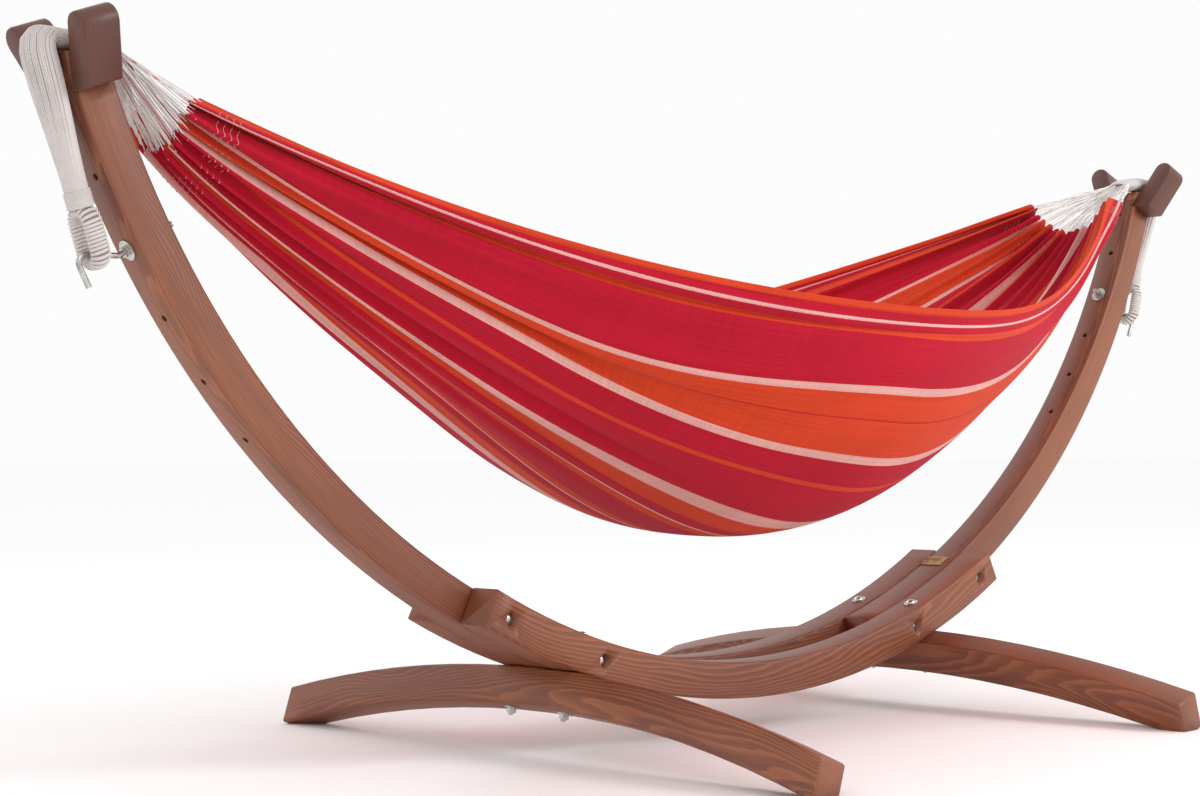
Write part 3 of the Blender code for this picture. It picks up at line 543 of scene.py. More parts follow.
def cloth_material():
    mat, tree, shader = new_material("striped_cotton_cloth")
    spot = add_node(tree, "ShaderNodeUVMap", uv_map="cloth").outputs["UV"]
    weave = use_group(tree, GROUPS["weave"], UV=spot)
    parts = add_node(tree, "ShaderNodeSeparateXYZ")
    feed(tree, spot, parts.inputs[0])
    fray = noise_value(tree, scaled(tree, spot, (60.0, 900.0, 1.0)), 1.0, 1.0)
    across = calc(tree, "ADD", parts.outputs["X"], band(tree, fray, 0.2, 0.8, -0.0005, 0.0005))
    grey = add_node(tree, "ShaderNodeCombineXYZ")
    for index in range(3):
        feed(tree, weave["Shade"], grey.inputs[index])
    # The weave's shade multiplies the stripes: random yarn tone plus painted light and shade of the weave's
    # relief.
    colour = blend_colour(tree, 1.0, stripe_colour(tree, across), grey.outputs[0], "MULTIPLY")
    feed(tree, colour, shader.inputs["Base Color"])
    shader.inputs["Roughness"].default_value = 0.88
    shader.inputs["Sheen Weight"].default_value = 0.03
    shader.inputs["Specular IOR Level"].default_value = 0.2
    add_bump(tree, shader, weave["Height"], 0.35, 0.0004)
    return mat


MATERIALS = {
    "zinc": metal_material("zinc_plated_steel", "zinc", "zinc_dull", 0.22),
    "plate": metal_material("blank_brass_plate", "plate", "plate_dull", 0.38),
    "white": cotton_material("undyed_cotton_string", "string_white"),
    "rope": cotton_material("undyed_cotton_rope", "rope_white"),
    # The core's grey is painted shade, seen in the gaps between the strings and turns laid over it.
    "core": cotton_material("cotton_core_painted_shade", "core_painted_shade"),
    "red": cotton_material("red_cotton_string", "string_red"),
    "thread": cotton_material("pale_sewing_thread", "cream"),
    "cloth": cloth_material(),
}


# ---- geometry nodes ----
def geometry_tree(name, inputs):
    tree = bpy.data.node_groups.new(name, "GeometryNodeTree")
    tree.is_modifier = True
    tree.interface.new_socket(name="Geometry", in_out="INPUT", socket_type="NodeSocketGeometry")
    for label, kind, value in inputs:
        socket = tree.interface.new_socket(name=label, in_out="INPUT", socket_type=kind)
        if value is not None:
            socket.default_value = value
    tree.interface.new_socket(name="Geometry", in_out="OUTPUT", socket_type="NodeSocketGeometry")
    return tree, tree.nodes.new("NodeGroupInput").outputs, tree.nodes.new("NodeGroupOutput").inputs


def finish_tree(tree, geometry, given, result):
    real = tree.nodes.new("GeometryNodeRealizeInstances")
    feed(tree, geometry, real.inputs[0])
    coloured = tree.nodes.new("GeometryNodeSetMaterial")
    feed(tree, real.outputs[0], coloured.inputs["Geometry"])
    feed(tree, given["Material"], coloured.inputs["Material"])
    feed(tree, coloured.outputs[0], result["Geometry"])
    return tree


def make_strand_tree():
    """Round strands along a mesh's rows of edges."""
    tree, given, result = geometry_tree(
        "strands", (("Radius", FLOAT, 0.001), ("Sides", "NodeSocketInt", 6),
                    ("Material", "NodeSocketMaterial", None)))
    curve = tree.nodes.new("GeometryNodeMeshToCurve")
    feed(tree, given["Geometry"], curve.inputs["Mesh"])
    ring = tree.nodes.new("GeometryNodeCurvePrimitiveCircle")
    feed(tree, given["Sides"], ring.inputs["Resolution"])
    feed(tree, given["Radius"], ring.inputs["Radius"])
    tube = tree.nodes.new("GeometryNodeCurveToMesh")
    tube.inputs["Fill Caps"].default_value = True
    feed(tree, curve.outputs[0], tube.inputs["Curve"])
    feed(tree, ring.outputs[0], tube.inputs["Profile Curve"])
    smooth = tree.nodes.new("GeometryNodeSetShadeSmooth")
    feed(tree, tube.outputs[0], smooth.inputs["Geometry"])
    return finish_tree(tree, smooth.outputs[0], given, result)


def make_stitch_tree():
    """Short stitches end to end along a mesh's rows of edges."""
    tree, given, result = geometry_tree(
        "stitches", (("Pitch", FLOAT, 0.005), ("Length", FLOAT, 0.0032),
                     ("Radius", FLOAT, 0.0004), ("Material", "NodeSocketMaterial", None)))
    curve = tree.nodes.new("GeometryNodeMeshToCurve")
    feed(tree, given["Geometry"], curve.inputs["Mesh"])
    points = tree.nodes.new("GeometryNodeCurveToPoints")
    points.mode = "LENGTH"
    feed(tree, curve.outputs[0], points.inputs["Curve"])
    feed(tree, given["Pitch"], points.inputs["Length"])
    stitch = tree.nodes.new("GeometryNodeMeshCylinder")
    stitch.inputs["Vertices"].default_value = 6
    feed(tree, given["Radius"], stitch.inputs["Radius"])
    feed(tree, given["Length"], stitch.inputs["Depth"])
    copies = tree.nodes.new("GeometryNodeInstanceOnPoints")
    feed(tree, points.outputs["Points"], copies.inputs["Points"])
    feed(tree, stitch.outputs["Mesh"], copies.inputs["Instance"])
    feed(tree, points.outputs["Rotation"], copies.inputs["Rotation"])
    return finish_tree(tree, copies.outputs[0], given, result)


TREES = {"strands": make_strand_tree(), "stitches": make_stitch_tree()}


def rows_mesh(name, rows):
    """A mesh of loose edge rows. A row is a list of points, closed if it ends where it starts."""
    points = []
    edges = []
    for row in rows:
        first = len(points)
        closed = (Vector(row[0]) - Vector(row[-1])).length < 1e-7
        kept = row[:-1] if closed else row
        points.extend(tuple(p) for p in kept)
        edges.extend((first + i, first + i + 1) for i in range(len(kept) - 1))
        if closed:
            edges.append((first + len(kept) - 1, first))
    mesh = bpy.data.meshes.new(name)
    mesh.from_pydata(points, edges, [])
    return mesh


def grown(name, rows, tree_name, **values):
    """Runs a geometry tree over rows of points and keeps the result as a plain mesh."""
    source = bpy.data.objects.new(name + "_rows", rows_mesh(name, rows))
    bpy.context.scene.collection.objects.link(source)
    tree = TREES[tree_name]
    modifier = source.modifiers.new(name, "NODES")
    modifier.node_group = tree
    sockets = {item.name: item.identifier for item in tree.interface.items_tree
               if item.in_out == "INPUT"}
    for label, value in values.items():
        modifier[sockets[label]] = value
    bpy.context.view_layer.update()
    shown = source.evaluated_get(bpy.context.evaluated_depsgraph_get())
    mesh = bpy.data.meshes.new_from_object(shown)
    mesh.name = name
    bpy.data.objects.remove(source)
    made = bpy.data.objects.new(name, mesh)
    bpy.context.scene.collection.objects.link(made)
    return made


def plain_object(name, points, faces, mat, smooth=True):
    mesh = bpy.data.meshes.new(name)
    mesh.from_pydata([tuple(p) for p in points], [], faces)
    if smooth:
        mesh.shade_smooth()
    mesh.materials.append(mat)
    made = bpy.data.objects.new(name, mesh)
    bpy.context.scene.collection.objects.link(made)
    return made


def loft(name, rings, mat, closed=False):
    """A closed skin through rings of points."""
    count = len(rings[0])
    points = [p for ring in rings for p in ring]
    faces = []
    pairs = len(rings) if closed else len(rings) - 1
    for ring in range(pairs):
        low = ring * count
        high = ((ring + 1) % len(rings)) * count
        for i in range(count):
            j = (i + 1) % count
            faces.append((low + i, low + j, high + j, high + i))
    if not closed:
        faces.append(tuple(reversed(range(count))))
        faces.append(tuple(range(len(points) - count, len(points))))
    made = plain_object(name, points, faces, mat)
    bm = bmesh.new()
    bm.from_mesh(made.data)
    bmesh.ops.recalc_face_normals(bm, faces=bm.faces)
    bm.to_mesh(made.data)
    bm.free()
    return made


def place_piece(piece, body, slot, *nodes):
    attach(piece, body)
    if nodes:
        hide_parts(*nodes)
    return piece


# ---- the cloth's shape ----
def eased(share, softness):
    low = math.sqrt(share * share + softness * softness) - softness
    return low / (math.sqrt(1 + softness * softness) - softness)


def smoothstep(low, high, value):
    share = np.clip((value - low) / (high - low), 0, 1)
    return share * share * (3 - 2 * share)


def section(s):
    """The smooth section at s as arrays of Y and Z, from the near hem to the far hem."""
    end = -1 if s < 0 else 1
    share = abs(s)
    t = np.linspace(-1, 1, 241)
    near = t < 0
    middle_half = np.where(near, NEAR_HALF_WIDTH, FAR_HALF_WIDTH)
    half = END_HALF_WIDTH[end] + (middle_half - END_HALF_WIDTH[end]) * (1 - eased(share, WIDTH_EASE))
    drop = np.where(near, NEAR_HEM_DROP, FAR_HEM_DROP)
    rise = np.where(near, share * share, eased(share, FAR_HEM_EASE))
    hem = drop + (END_HEM_DROP[end] - drop) * rise
    bottom = BOTTOM_DROP + (END_BOTTOM_DROP - BOTTOM_DROP) * eased(share, BOTTOM_EASE)
    bottom -= END_LIFT * share ** END_LIFT_POWER
    angle = t * math.pi / 2
    round_share = np.clip(np.cos(angle), 0, 1) ** SECTION_POWER
    z = AXIS_Z - hem - (bottom - hem) * round_share
    y = half * np.abs(np.sin(angle)) ** SECTION_POWER * (1 + SECTION_BULGE * np.cos(angle))
    return np.sign(t) * y, z


def spread(s, w):
    """Share of the section's length at which the cloth's share w lies.

    The near half is pulled down at the left end and up over the middle.
    """
    pull = 0.016 - 0.050 * smoothstep(-0.52, -0.05, s) + 0.017 * smoothstep(0.5, 1.0, s)
    near = np.sin(math.pi * np.sqrt(np.clip(2 * w, 0, 1))) * smoothstep(0.0, 0.10, w)
    place_w = w + pull * near
    for middle_w, half_w, strength, opened in TUCKS:
        away = w - middle_w
        tuck = strength * (1 - smoothstep(opened - 0.45, opened, s))
        place_w = place_w - tuck * away * np.exp(-(away / half_w) ** 2)
    return place_w


def lobe_turn(s, w):
    edges = LOBE_EDGES[-1 if s < 0 else 1]
    return np.interp(w, edges, range(len(edges)))


def fold_depth(s, w):
    """How far the cloth stands out of the smooth section."""
    strength = np.clip((abs(s) - 0.16) / 0.84, 0, 1)
    turn = lobe_turn(s, w)
    depth = -LOBE_DEPTH * strength ** 1.4 * np.cos(2 * math.pi * turn)
    wobble = 0.25 * np.sin(2 * math.pi * w * 5.3 + 4 * s)
    depth = depth + PLEAT_DEPTH * strength ** 2.2 * np.sin(2 * math.pi * (3 * turn + wobble))
    for place_w, half_w, deep, middle_s, half_s in LONG_FOLDS:
        reach = max(0.0, 1 - ((s - middle_s) / half_s) ** 2)
        depth = depth + deep * reach ** 1.5 * np.exp(-((w - place_w) / half_w) ** 2)
    slack = np.array([noise.noise(Vector((s * 3.1, share * 6.0, 2.0))) for share in w])
    calm = smoothstep(0.0, 0.04, w) * smoothstep(0.0, 0.04, 1 - w)
    return depth * (0.35 + 0.65 * calm) + 0.004 * slack * calm


def end_reach(s, w):
    """Extra length of each lobe towards its mast."""
    turn = lobe_turn(s, w)
    tongue = np.abs(np.sin(math.pi * turn)) ** 0.7
    return LOBE_REACH * (tongue - 0.55) * smoothstep(0.80, 1.0, abs(s))


def cloth_line(s, w, off=0.0):
    """Points of the cloth at s for an array of shares w, off metres outward of its middle."""
    w = np.asarray(w, float)
    y, z = section(s)
    steps = np.hypot(np.diff(y), np.diff(z))
    run = np.concatenate(([0], np.cumsum(steps)))
    run /= run[-1]
    share = spread(s, w)
    step = 0.004
    here = np.stack((np.interp(share, run, y), np.interp(share, run, z)))
    back = np.clip(share - step, 0, 1)
    ahead = np.clip(share + step, 0, 1)
    tangent = np.stack((np.interp(ahead, run, y) - np.interp(back, run, y),
                        np.interp(ahead, run, z) - np.interp(back, run, z)))
    tangent /= np.hypot(*tangent)
    outward = np.stack((tangent[1], -tangent[0]))
    depth = fold_depth(s, w) + off
    side = -1 if s < 0 else 1
    left_x = FAN_LENGTH[-1] - AXIS_X
    right_x = AXIS_X - FAN_LENGTH[1]
    x = left_x + (right_x - left_x) * (s + 1) / 2 + side * end_reach(s, w)
    return np.stack((x, here[0] + outward[0] * depth, here[1] + outward[1] * depth), axis=1)


def length_shares():
    """s values from end to end, closer together at both ends."""
    even = np.linspace(-1, 1, LENGTH_STEPS + 1)
    return np.sign(even) * (0.55 * np.abs(even) + 0.45 * np.sin(np.abs(even) * math.pi / 2))


def make_cloth():
    shares = length_shares()
    w = np.linspace(0, 1, WIDTH_STEPS + 1)
    points = np.concatenate([cloth_line(s, w) for s in shares])
    columns = WIDTH_STEPS + 1
    faces = []
    spots = []
    for i in range(LENGTH_STEPS):
        for j in range(WIDTH_STEPS):
            low = i * columns + j
            faces.append((low, low + columns, low + columns + 1, low + 1))
            for a, b in ((i, j), (i + 1, j), (i + 1, j + 1), (i, j + 1)):
                spots.append((w[b] * FLAT_WIDTH, (shares[a] + 1) / 2 * FLAT_LENGTH))
    cloth = plain_object("hammock_cloth", points, faces, MATERIALS["cloth"])
    layer = cloth.data.uv_layers.new(name="cloth")
    layer.data.foreach_set("uv", np.array(spots, np.float32).ravel())
    wall = cloth.modifiers.new("wall", "SOLIDIFY")
    wall.thickness = CLOTH_THICK
    wall.offset = 0
    return cloth


# ---- hems and stitching ----
HEM_WIDTH = 0.0105
HEM_THICK = 0.0042


def make_hem(name, w_edge):
    """The rolled hem along one long edge, a flat tube that wraps the cloth's edge."""
    inward = 1 if w_edge == 0 else -1
    rings = []
    spots = []
    for s in length_shares():
        across = np.array([w_edge, w_edge + inward * 0.004])
        edge, inside = (Vector(p) for p in cloth_line(s, across))
        plane = (inside - edge)
        plane.x = 0
        plane.normalize()
        normal = Vector((1, 0, 0)).cross(plane)
        ring = []
        for k in range(10):
            a = 2 * math.pi * k / 10
            along = math.copysign(abs(math.cos(a)) ** 0.6, math.cos(a))
            over = math.copysign(abs(math.sin(a)) ** 0.6, math.sin(a))
            ring.append(edge + plane * (HEM_WIDTH * (0.36 + along / 2))
                        + normal * HEM_THICK / 2 * over)
        rings.append(ring)
        spots.append((s + 1) / 2 * FLAT_LENGTH)
    hem = loft(name, rings, MATERIALS["cloth"])
    layer = hem.data.uv_layers.new(name="cloth")
    for loop in hem.data.loops:
        ring = loop.vertex_index // 10
        turn = (loop.vertex_index % 10) / 10
        layer.data[loop.index].uv = (0.001 + 0.008 * abs(turn - 0.5), spots[ring])
    return hem


def hem_stitch_rows(w_edge):
    inward = 1 if w_edge == 0 else -1
    rows = []
    for sign in (-1, 1):
        off = sign * (HEM_THICK / 2 + 0.0002)
        shares = np.linspace(-0.97, 0.97, 240)
        rows.append([tuple(cloth_line(s, [w_edge + inward * 0.0068], off)[0]) for s in shares])
    return rows


def lobe_stitch_rows():
    """Short rows of pale stitches across each lobe, close to the cloth's ends."""
    rows = []
    for side in (-1, 1):
        edges = LOBE_EDGES[side]
        for low, high in zip(edges, edges[1:]):
            wide = high - low
            for step in range(4):
                s = side * (0.968 - 0.0075 * step)
                across = np.linspace(low + wide * 0.14, high - wide * 0.14, 40)
                for sign in (-1, 1):
                    off = sign * (CLOTH_THICK / 2 + 0.0007)
                    rows.append([tuple(p) for p in cloth_line(s, across, off)])
    return rows


# ---- strings and ropes ----
STRING_R = 0.0009
STRINGS_PER_LOBE = 7
ROOT_HALF = (0.0085, 0.0215)
CREST_HALF = (0.0125, 0.0315)
BACK_HALF = (0.0165, 0.0340)
NECK_R = 0.0148
TAIL_STRINGS = 46
TAIL_STRING_R = 0.0016


def fan_rows(side):
    """Strings from the lobes to the saddle, white ones and a few red ones."""
    dice = random.Random(17 + side)
    white = []
    red = []
    edges = LOBE_EDGES[side]
    root_x = side * (AXIS_X - 0.001)
    count = 0
    for low, high in zip(edges, edges[1:]):
        for k in range(STRINGS_PER_LOBE):
            w = low + (high - low) * (k + 0.5) / STRINGS_PER_LOBE
            start = Vector(cloth_line(side * 0.992, [w])[0])
            bundle = Vector(cloth_line(side * 1.0, [(low + high) / 2])[0])
            angle = math.pi * (w - 0.5)
            lean = math.sin(angle)
            level = dice.uniform(-1, 1) * (0.25 + 0.70 * abs(math.cos(angle)))
            root = Vector((root_x, ROOT_HALF[1] * lean, AXIS_Z + ROOT_HALF[0] * level))
            row = []
            for step in range(9):
                share = step / 8
                spot = start.lerp(root, share)
                pull = (bundle.lerp(root, share) - spot) * 0.22 * math.sin(math.pi * share ** 0.6)
                spot += Vector((0, pull.y, pull.z))
                sag = 0.0025 * dice.uniform(-1, 1) * math.sin(math.pi * share)
                row.append(spot + Vector((0, sag, sag)))
            count += 1
            (red if side < 0 and count % 19 in (5, 13) else white).append(row)
    return white, red


def saddle_edges():
    outer = place(1, TIP_ANGLE, BEAM / 2)
    inner_radius = ARC_RADIUS - BEAM / 2
    inner_x = math.sqrt(inner_radius ** 2 - (CENTRE_Z - outer.z) ** 2)
    return Vector((inner_x, outer.z)), Vector((outer.x, outer.z))


def tail_stations(name, side):
    """Middle, direction and half sizes of the gathered strings, from saddle to neck."""
    inner, outer = saddle_edges()
    over = 0.014 + 0.002
    whip = middle_of(name + "_whipping")
    neck = Vector((side * whip.x, whip.z))
    behind = outer + Vector((0.021, 0))
    down = (neck - behind).normalized()
    corner = Vector((1, 1)).normalized() * (over + 0.009)
    top = behind + down * 0.012
    stations = [
        (Vector((AXIS_X - 0.010, AXIS_Z)), Vector((1, 0.03)), (0.003, 0.014)),
        (Vector((AXIS_X + 0.006, AXIS_Z)), Vector((1, 0.03)), CREST_HALF),
        (inner + Vector((0.012, over)), Vector((1, 0.06)), CREST_HALF),
        (inner.lerp(outer, 0.5) + Vector((0, over + 0.003)), Vector((1, -0.02)), CREST_HALF),
        (outer + Vector((-0.008, over + 0.002)), Vector((1, -0.25)), CREST_HALF),
        (outer + corner, Vector((0.65, -0.76)), BACK_HALF),
        (top, down, BACK_HALF),
    ]
    drop = (neck - top).length
    for share in (0.2, 0.4, 0.6, 0.8, 1.0):
        ease = share * share * (3 - 2 * share)
        half = tuple(b + (NECK_R - b) * ease for b in BACK_HALF)
        stations.append((top + down * drop * share, down, half))
    stations.append((top + down * (drop + 0.010), down, (NECK_R, NECK_R)))
    return stations


def smooth_stations(stations, count):
    """The same course with evenly placed stations, through a smooth curve."""
    spots = [s[0] for s in stations]
    runs = [0.0]
    for a, b in zip(spots, spots[1:]):
        runs.append(runs[-1] + (b - a).length)
    even = np.linspace(0, runs[-1], count)
    result = []
    for value in even:
        i = min(max(np.searchsorted(runs, value) - 1, 0), len(runs) - 2)
        span = runs[i + 1] - runs[i]
        u = (value - runs[i]) / span
        heading_a = stations[i][1].normalized() * span
        heading_b = stations[i + 1][1].normalized() * span
        spot = (spots[i] * (2 * u ** 3 - 3 * u ** 2 + 1) + heading_a * (u ** 3 - 2 * u ** 2 + u)
                + spots[i + 1] * (3 * u ** 2 - 2 * u ** 3) + heading_b * (u ** 3 - u ** 2))
        heading = stations[i][1].normalized().lerp(stations[i + 1][1].normalized(), u)
        half = [a + (b - a) * u for a, b in zip(stations[i][2], stations[i + 1][2])]
        result.append((spot, heading.normalized(), half))
    return result


def ring_points(side, station, scale, count, twist=0.0):
    spot, heading, half = station
    across = Vector((-heading.y, heading.x))
    points = []
    for k in range(count):
        a = 2 * math.pi * k / count + twist
        out = across * (half[0] * scale * math.cos(a))
        y = half[1] * scale * math.sin(a)
        points.append(Vector((side * (spot.x + out.x), y, spot.y + out.y)))
    return points


def make_rope_tail(name, side):
    stations = smooth_stations(tail_stations(name, side), 30)
    # The grey core under the strings paints the shade in the grooves between them.
    core = loft(name + "_rope_core", [ring_points(side, s, 0.88, 20) for s in stations],
                MATERIALS["core"])
    dice = random.Random(5 + side)
    lanes = [[] for _ in range(TAIL_STRINGS)]
    drift = [dice.uniform(-0.4, 0.4) for _ in lanes]
    for index, station in enumerate(stations):
        ring = ring_points(side, station, 0.95, TAIL_STRINGS)
        following = ring[1:] + ring[:1]
        for lane, spot, beside, lean in zip(lanes, ring, following, drift):
            lane.append(spot.lerp(beside, lean * math.sin(math.pi * index / len(stations))))
    strings = grown(name + "_rope_strings", lanes, "strands", Radius=TAIL_STRING_R, Sides=6,
                    Material=MATERIALS["rope"])
    place_piece(core, "stand", "cotton_rope", name + "_rope_tail")
    place_piece(strings, "stand", "cotton_rope")


def rope_heading(name, side):
    _, outer = saddle_edges()
    whip = middle_of(name + "_whipping")
    behind = outer + Vector((0.021, 0))
    return (Vector((side * whip.x, whip.z)) - behind).normalized()


def make_whipping(name, side):
    """Cord wound tight round the neck."""
    heading = rope_heading(name, side)
    middle = middle_of(name + "_whipping")
    down = Vector((side * heading.x, 0, heading.y))
    turn = basis(middle, down, Vector((0, 1, 0)))
    pitch = 0.0024
    turns = 9
    per_turn = 18
    row = []
    for k in range(turns * per_turn + 1):
        a = 2 * math.pi * k / per_turn
        row.append(turn @ Vector((0.0166 * math.cos(a), 0.0166 * math.sin(a),
                                  (k / per_turn - turns / 2) * pitch)))
    piece = grown(name + "_neck_winding", [row], "strands", Radius=0.0014, Sides=7,
                  Material=MATERIALS["rope"])
    place_piece(piece, "stand", "cotton_rope", name + "_whipping")


EYE_SPREAD = 0.0165
EYE_LENGTH = 0.082
EYE_HALF = (0.0118, 0.0060)


def make_eye(name, side):
    """The eye: a padded ring with cord wound round it from end to end."""
    heading = rope_heading(name, side)
    down = Vector((side * heading.x, 0, heading.y))
    turn = basis(middle_of(name + "_eye_loop"), down, Vector((0, 1, 0)).cross(down))
    straight = EYE_LENGTH - 2 * (EYE_SPREAD + 0.006)
    course = []
    quarter = 10
    for end in (1, -1):
        for k in range(quarter + 1):
            a = math.pi * k / quarter
            course.append((Vector((0, end * EYE_SPREAD * math.cos(a),
                                   end * (straight / 2 + EYE_SPREAD * math.sin(a)))),
                           Vector((0, -end * math.sin(a), end * math.cos(a)))))
        for k in range(1, 8):
            share = k / 8
            course.append((Vector((0, -end * EYE_SPREAD, end * straight * (0.5 - share))),
                           Vector((0, 0, -end))))
    rings = []
    for spot, ahead in course:
        local = basis(spot, ahead, Vector((1, 0, 0)))
        rings.append([turn @ local @ Vector((EYE_HALF[0] * math.cos(a), EYE_HALF[1] * math.sin(a), 0))
                      for a in (2 * math.pi * k / 14 for k in range(14))])
    # The grey core under the winding paints the shade between its turns.
    core = loft(name + "_eye_core", rings, MATERIALS["core"], closed=True)
    place_piece(core, "stand", "cotton_rope", name + "_eye_loop")
    length = 2 * straight + 2 * math.pi * EYE_SPREAD
    turns = 34
    per_turn = 12
    row = []
    for k in range(turns * per_turn + 1):
        share = k / (turns * per_turn) * (len(course))
        i = int(share) % len(course)
        u = share - int(share)
        after = course[(i + 1) % len(course)]
        spot = course[i][0].lerp(after[0], u)
        ahead = course[i][1].lerp(after[1], u).normalized()
        local = basis(spot, ahead, Vector((1, 0, 0)))
        a = 2 * math.pi * k / per_turn
        row.append(turn @ local @ Vector((EYE_HALF[0] * 1.06 * math.cos(a),
                                          (EYE_HALF[1] + 0.0005) * math.sin(a), 0)))
    piece = grown(name + "_eye_winding", [row], "strands", Radius=length / turns * 0.46, Sides=6,
                  Material=MATERIALS["rope"])
    place_piece(piece, "stand", "cotton_rope")


def make_hook_thread(name, side):
    """The thread on the hook's end, inside the mast's inner nut."""
    outward = Vector((side * math.sin(HOOK_ANGLE), 0, -math.cos(HOOK_ANGLE)))
    start = place(side, HOOK_ANGLE, -BEAM / 2 - 0.018)
    turn = basis(start, outward, Vector((0, 1, 0)))
    pitch = 0.00125
    turns = 7
    per_turn = 14
    row = [turn @ Vector((HOOK_ROD_R * math.cos(2 * math.pi * k / per_turn),
                          HOOK_ROD_R * math.sin(2 * math.pi * k / per_turn),
                          0.0006 + pitch * k / per_turn)) for k in range(turns * per_turn + 1)]
    piece = grown(name + "_hook_thread", [row], "strands", Radius=0.00045, Sides=5,
                  Material=MATERIALS["zinc"])
    place_piece(piece, "stand", "zinc_plate")


# ---- wooden and metal pieces ----
def finish_node(node, mat):
    """Gives a CAD node its finish on a merged, smoothly shaded copy of its mesh."""
    source = frame["nodes"][node]
    bm = bmesh.new()
    bm.from_mesh(source.data)
    bmesh.ops.remove_doubles(bm, verts=bm.verts, dist=0.00001)
    mesh = bpy.data.meshes.new(node + "_finish")
    bm.to_mesh(mesh)
    bm.free()
    mesh.shade_smooth()
    mesh.set_sharp_from_angle(angle=math.radians(28))
    mesh.materials.clear()
    mesh.materials.append(mat)
    piece = bpy.data.objects.new(node + "_finish", mesh)
    bpy.context.scene.collection.objects.link(piece)
    return piece


def finish_wood():
    for index, (name, side) in enumerate(SIDES.items()):
        mast = pine_material(name + "_mast_pine", arc_vector, (0.37 * index, 0.003, -0.004))
        place_piece(finish_node(name + "_mast", mast), "stand", "stained_pine", name + "_mast")
        foot = pine_material(name + "_foot_pine", foot_vector(side), (1.9 + index, 0.4, 0.02))
        place_piece(finish_node(name + "_foot", foot), "stand", "stained_pine", name + "_foot")
        for row_name, row in ROWS.items():
            node = name + "_" + row_name + "_fork_block"
            block = pine_material(node + "_pine", block_vector(side, row), (3.1 + row, 0.1, 0.03),
                                  "fork_light", "fork_dark", 0.30)
            place_piece(finish_node(node, block), "stand", "dark_stained_pine", node)
    for row_name, row in ROWS.items():
        rail = pine_material(row_name + "_rail_pine", arc_vector, (5.3 + row, 0.02 * row, 0.011))
        place_piece(finish_node(row_name + "_rail", rail), "stand", "stained_pine",
                    row_name + "_rail")


def finish_metal():
    for part in frame["record"]["subparts"]:
        if part["material_slot"] == "zinc_plate":
            node = part["node"]
            place_piece(finish_node(node, MATERIALS["zinc"]), "stand", "zinc_plate", node)
    place_piece(finish_node("blank_plate", MATERIALS["plate"]), "stand", "brass_plate",
                "blank_plate")


def make_hammock():
    cloth = make_cloth()
    hems = [make_hem("near_hem", 0.0), make_hem("far_hem", 1.0)]
    hem_rows = hem_stitch_rows(0.0) + hem_stitch_rows(1.0)
    hem_thread = grown("hem_stitches", hem_rows, "stitches", Pitch=0.0046, Length=0.0030,
                       Radius=0.00035, Material=MATERIALS["red"])
    lobe_thread = grown("lobe_stitches", lobe_stitch_rows(), "strands", Radius=0.0005, Sides=4,
                        Material=MATERIALS["thread"])
    place_piece(cloth, "hammock", "striped_cotton", "hammock_bed")
    for piece in hems + [hem_thread, lobe_thread]:
        place_piece(piece, "hammock", "striped_cotton")
    for name, side in SIDES.items():
        white, red = fan_rows(side)
        fan = grown(name + "_fan_strings", white, "strands", Radius=STRING_R, Sides=5,
                    Material=MATERIALS["white"])
        place_piece(fan, "hammock", "cotton_rope", name + "_string_fan")
        if red:
            dyed = grown(name + "_fan_red_strings", red, "strands", Radius=STRING_R * 0.8,
                         Sides=5, Material=MATERIALS["red"])
            place_piece(dyed, "hammock", "cotton_rope")


# ---- floor, light and camera ----
def make_floor():
    mat, tree, shader = new_material("pale_floor")
    speckle = noise_value(tree, object_position(tree), 40.0, 2.0)
    feed(tree, blend_colour(tree, band(tree, speckle, 0.3, 0.7, 0.0, 0.03), COLOURS["floor"],
                            srgb(225, 225, 225)), shader.inputs["Base Color"])
    shader.inputs["Roughness"].default_value = 0.9
    radius = 30.0
    corners = [(radius * math.cos(a), radius * math.sin(a), 0.0)
               for a in (2 * math.pi * k / 48 for k in range(48))]
    floor = plain_object("floor", corners, [tuple(range(48))], mat, smooth=False)


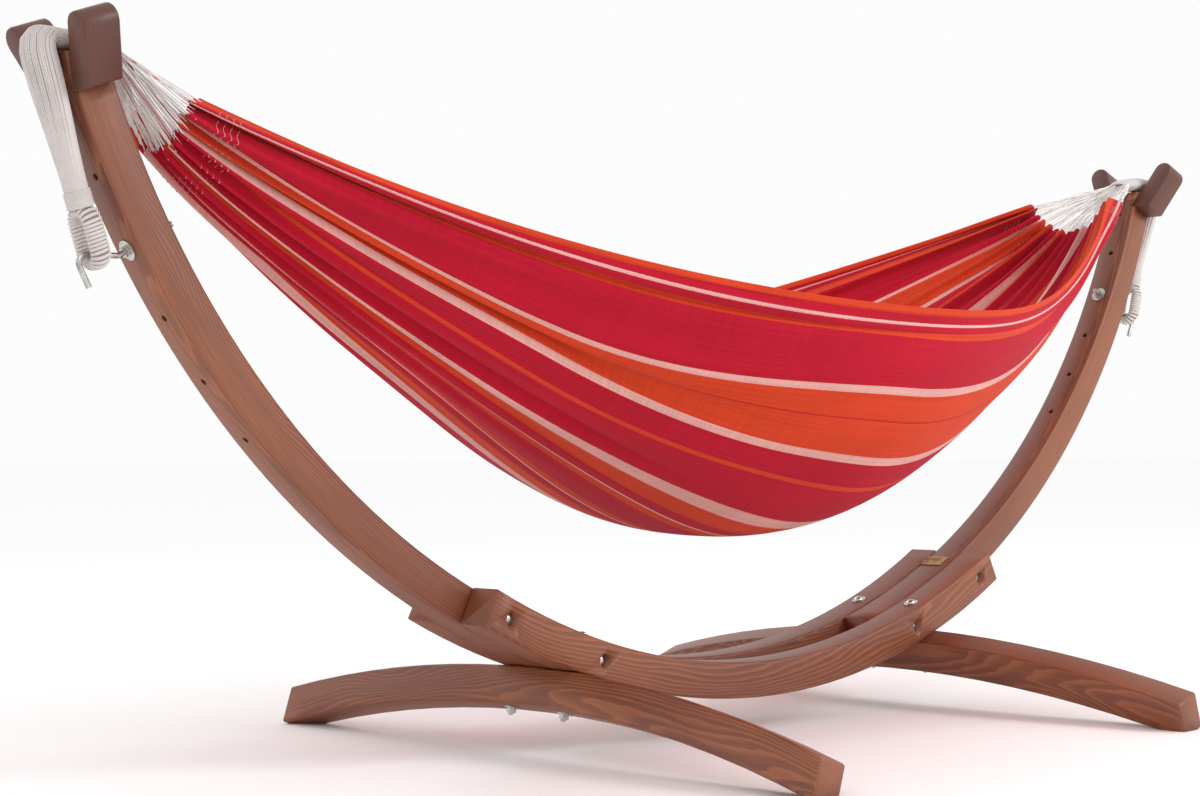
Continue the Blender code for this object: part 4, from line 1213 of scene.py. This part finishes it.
def add_area(name, spot, aim, size, power):
    data = bpy.data.lights.new(name, "AREA")
    data.shape = "DISK"
    data.size = size
    data.energy = power
    lamp = bpy.data.objects.new(name, data)
    bpy.context.scene.collection.objects.link(lamp)
    lamp.location = spot
    lamp.rotation_euler = (Vector(aim) - Vector(spot)).to_track_quat("-Z", "Y").to_euler()


def make_light():
    world = bpy.data.worlds.new("studio")
    bpy.context.scene.world = world
    world.use_nodes = True
    sky = world.node_tree.nodes["Background"]
    sky.inputs["Color"].default_value = (1.0, 1.0, 1.0, 1.0)
    sky.inputs["Strength"].default_value = 0.98
    middle = (0, 0, 0.6)
    add_area("key_light", (1.8, -3.7, 2.6), middle, 1.6, 78)
    add_area("side_light", (-3.2, -2.2, 3.4), middle, 1.6, 10)
    add_area("back_light", (1.0, 3.4, 2.8), middle, 1.6, 16)
    bpy.context.scene.view_settings.view_transform = "Standard"


YAW = math.radians(44.7023)
PITCH = math.radians(0.7826)
ROLL = math.radians(-0.3631)
LENS_MM = 65.78


def make_camera():
    """Low at the front left, looking along the yaw between +Y and +X."""
    ahead = Vector((math.sin(YAW) * math.cos(PITCH), math.cos(YAW) * math.cos(PITCH),
                    math.sin(PITCH)))
    right = Vector((math.cos(YAW), -math.sin(YAW), 0))
    up = right.cross(ahead)
    right_rolled = right * math.cos(ROLL) + up * math.sin(ROLL)
    up_rolled = up * math.cos(ROLL) - right * math.sin(ROLL)
    turn = Matrix((right_rolled, up_rolled, -ahead)).transposed().to_4x4()
    data = bpy.data.cameras.new("camera")
    data.lens = LENS_MM
    data.sensor_width = 36
    camera = bpy.data.objects.new("camera", data)
    bpy.context.scene.collection.objects.link(camera)
    spot = Vector((-2.7083, -2.4271, CENTRE_Z - 0.9003))
    camera.matrix_world = Matrix.Translation(spot) @ turn
    bpy.context.scene.camera = camera


def main():
    make_camera()
    make_light()
    make_floor()
    finish_wood()
    finish_metal()
    for name, side in SIDES.items():
        make_rope_tail(name, side)
        make_whipping(name, side)
        make_eye(name, side)
        make_hook_thread(name, side)
    make_hammock()


main()
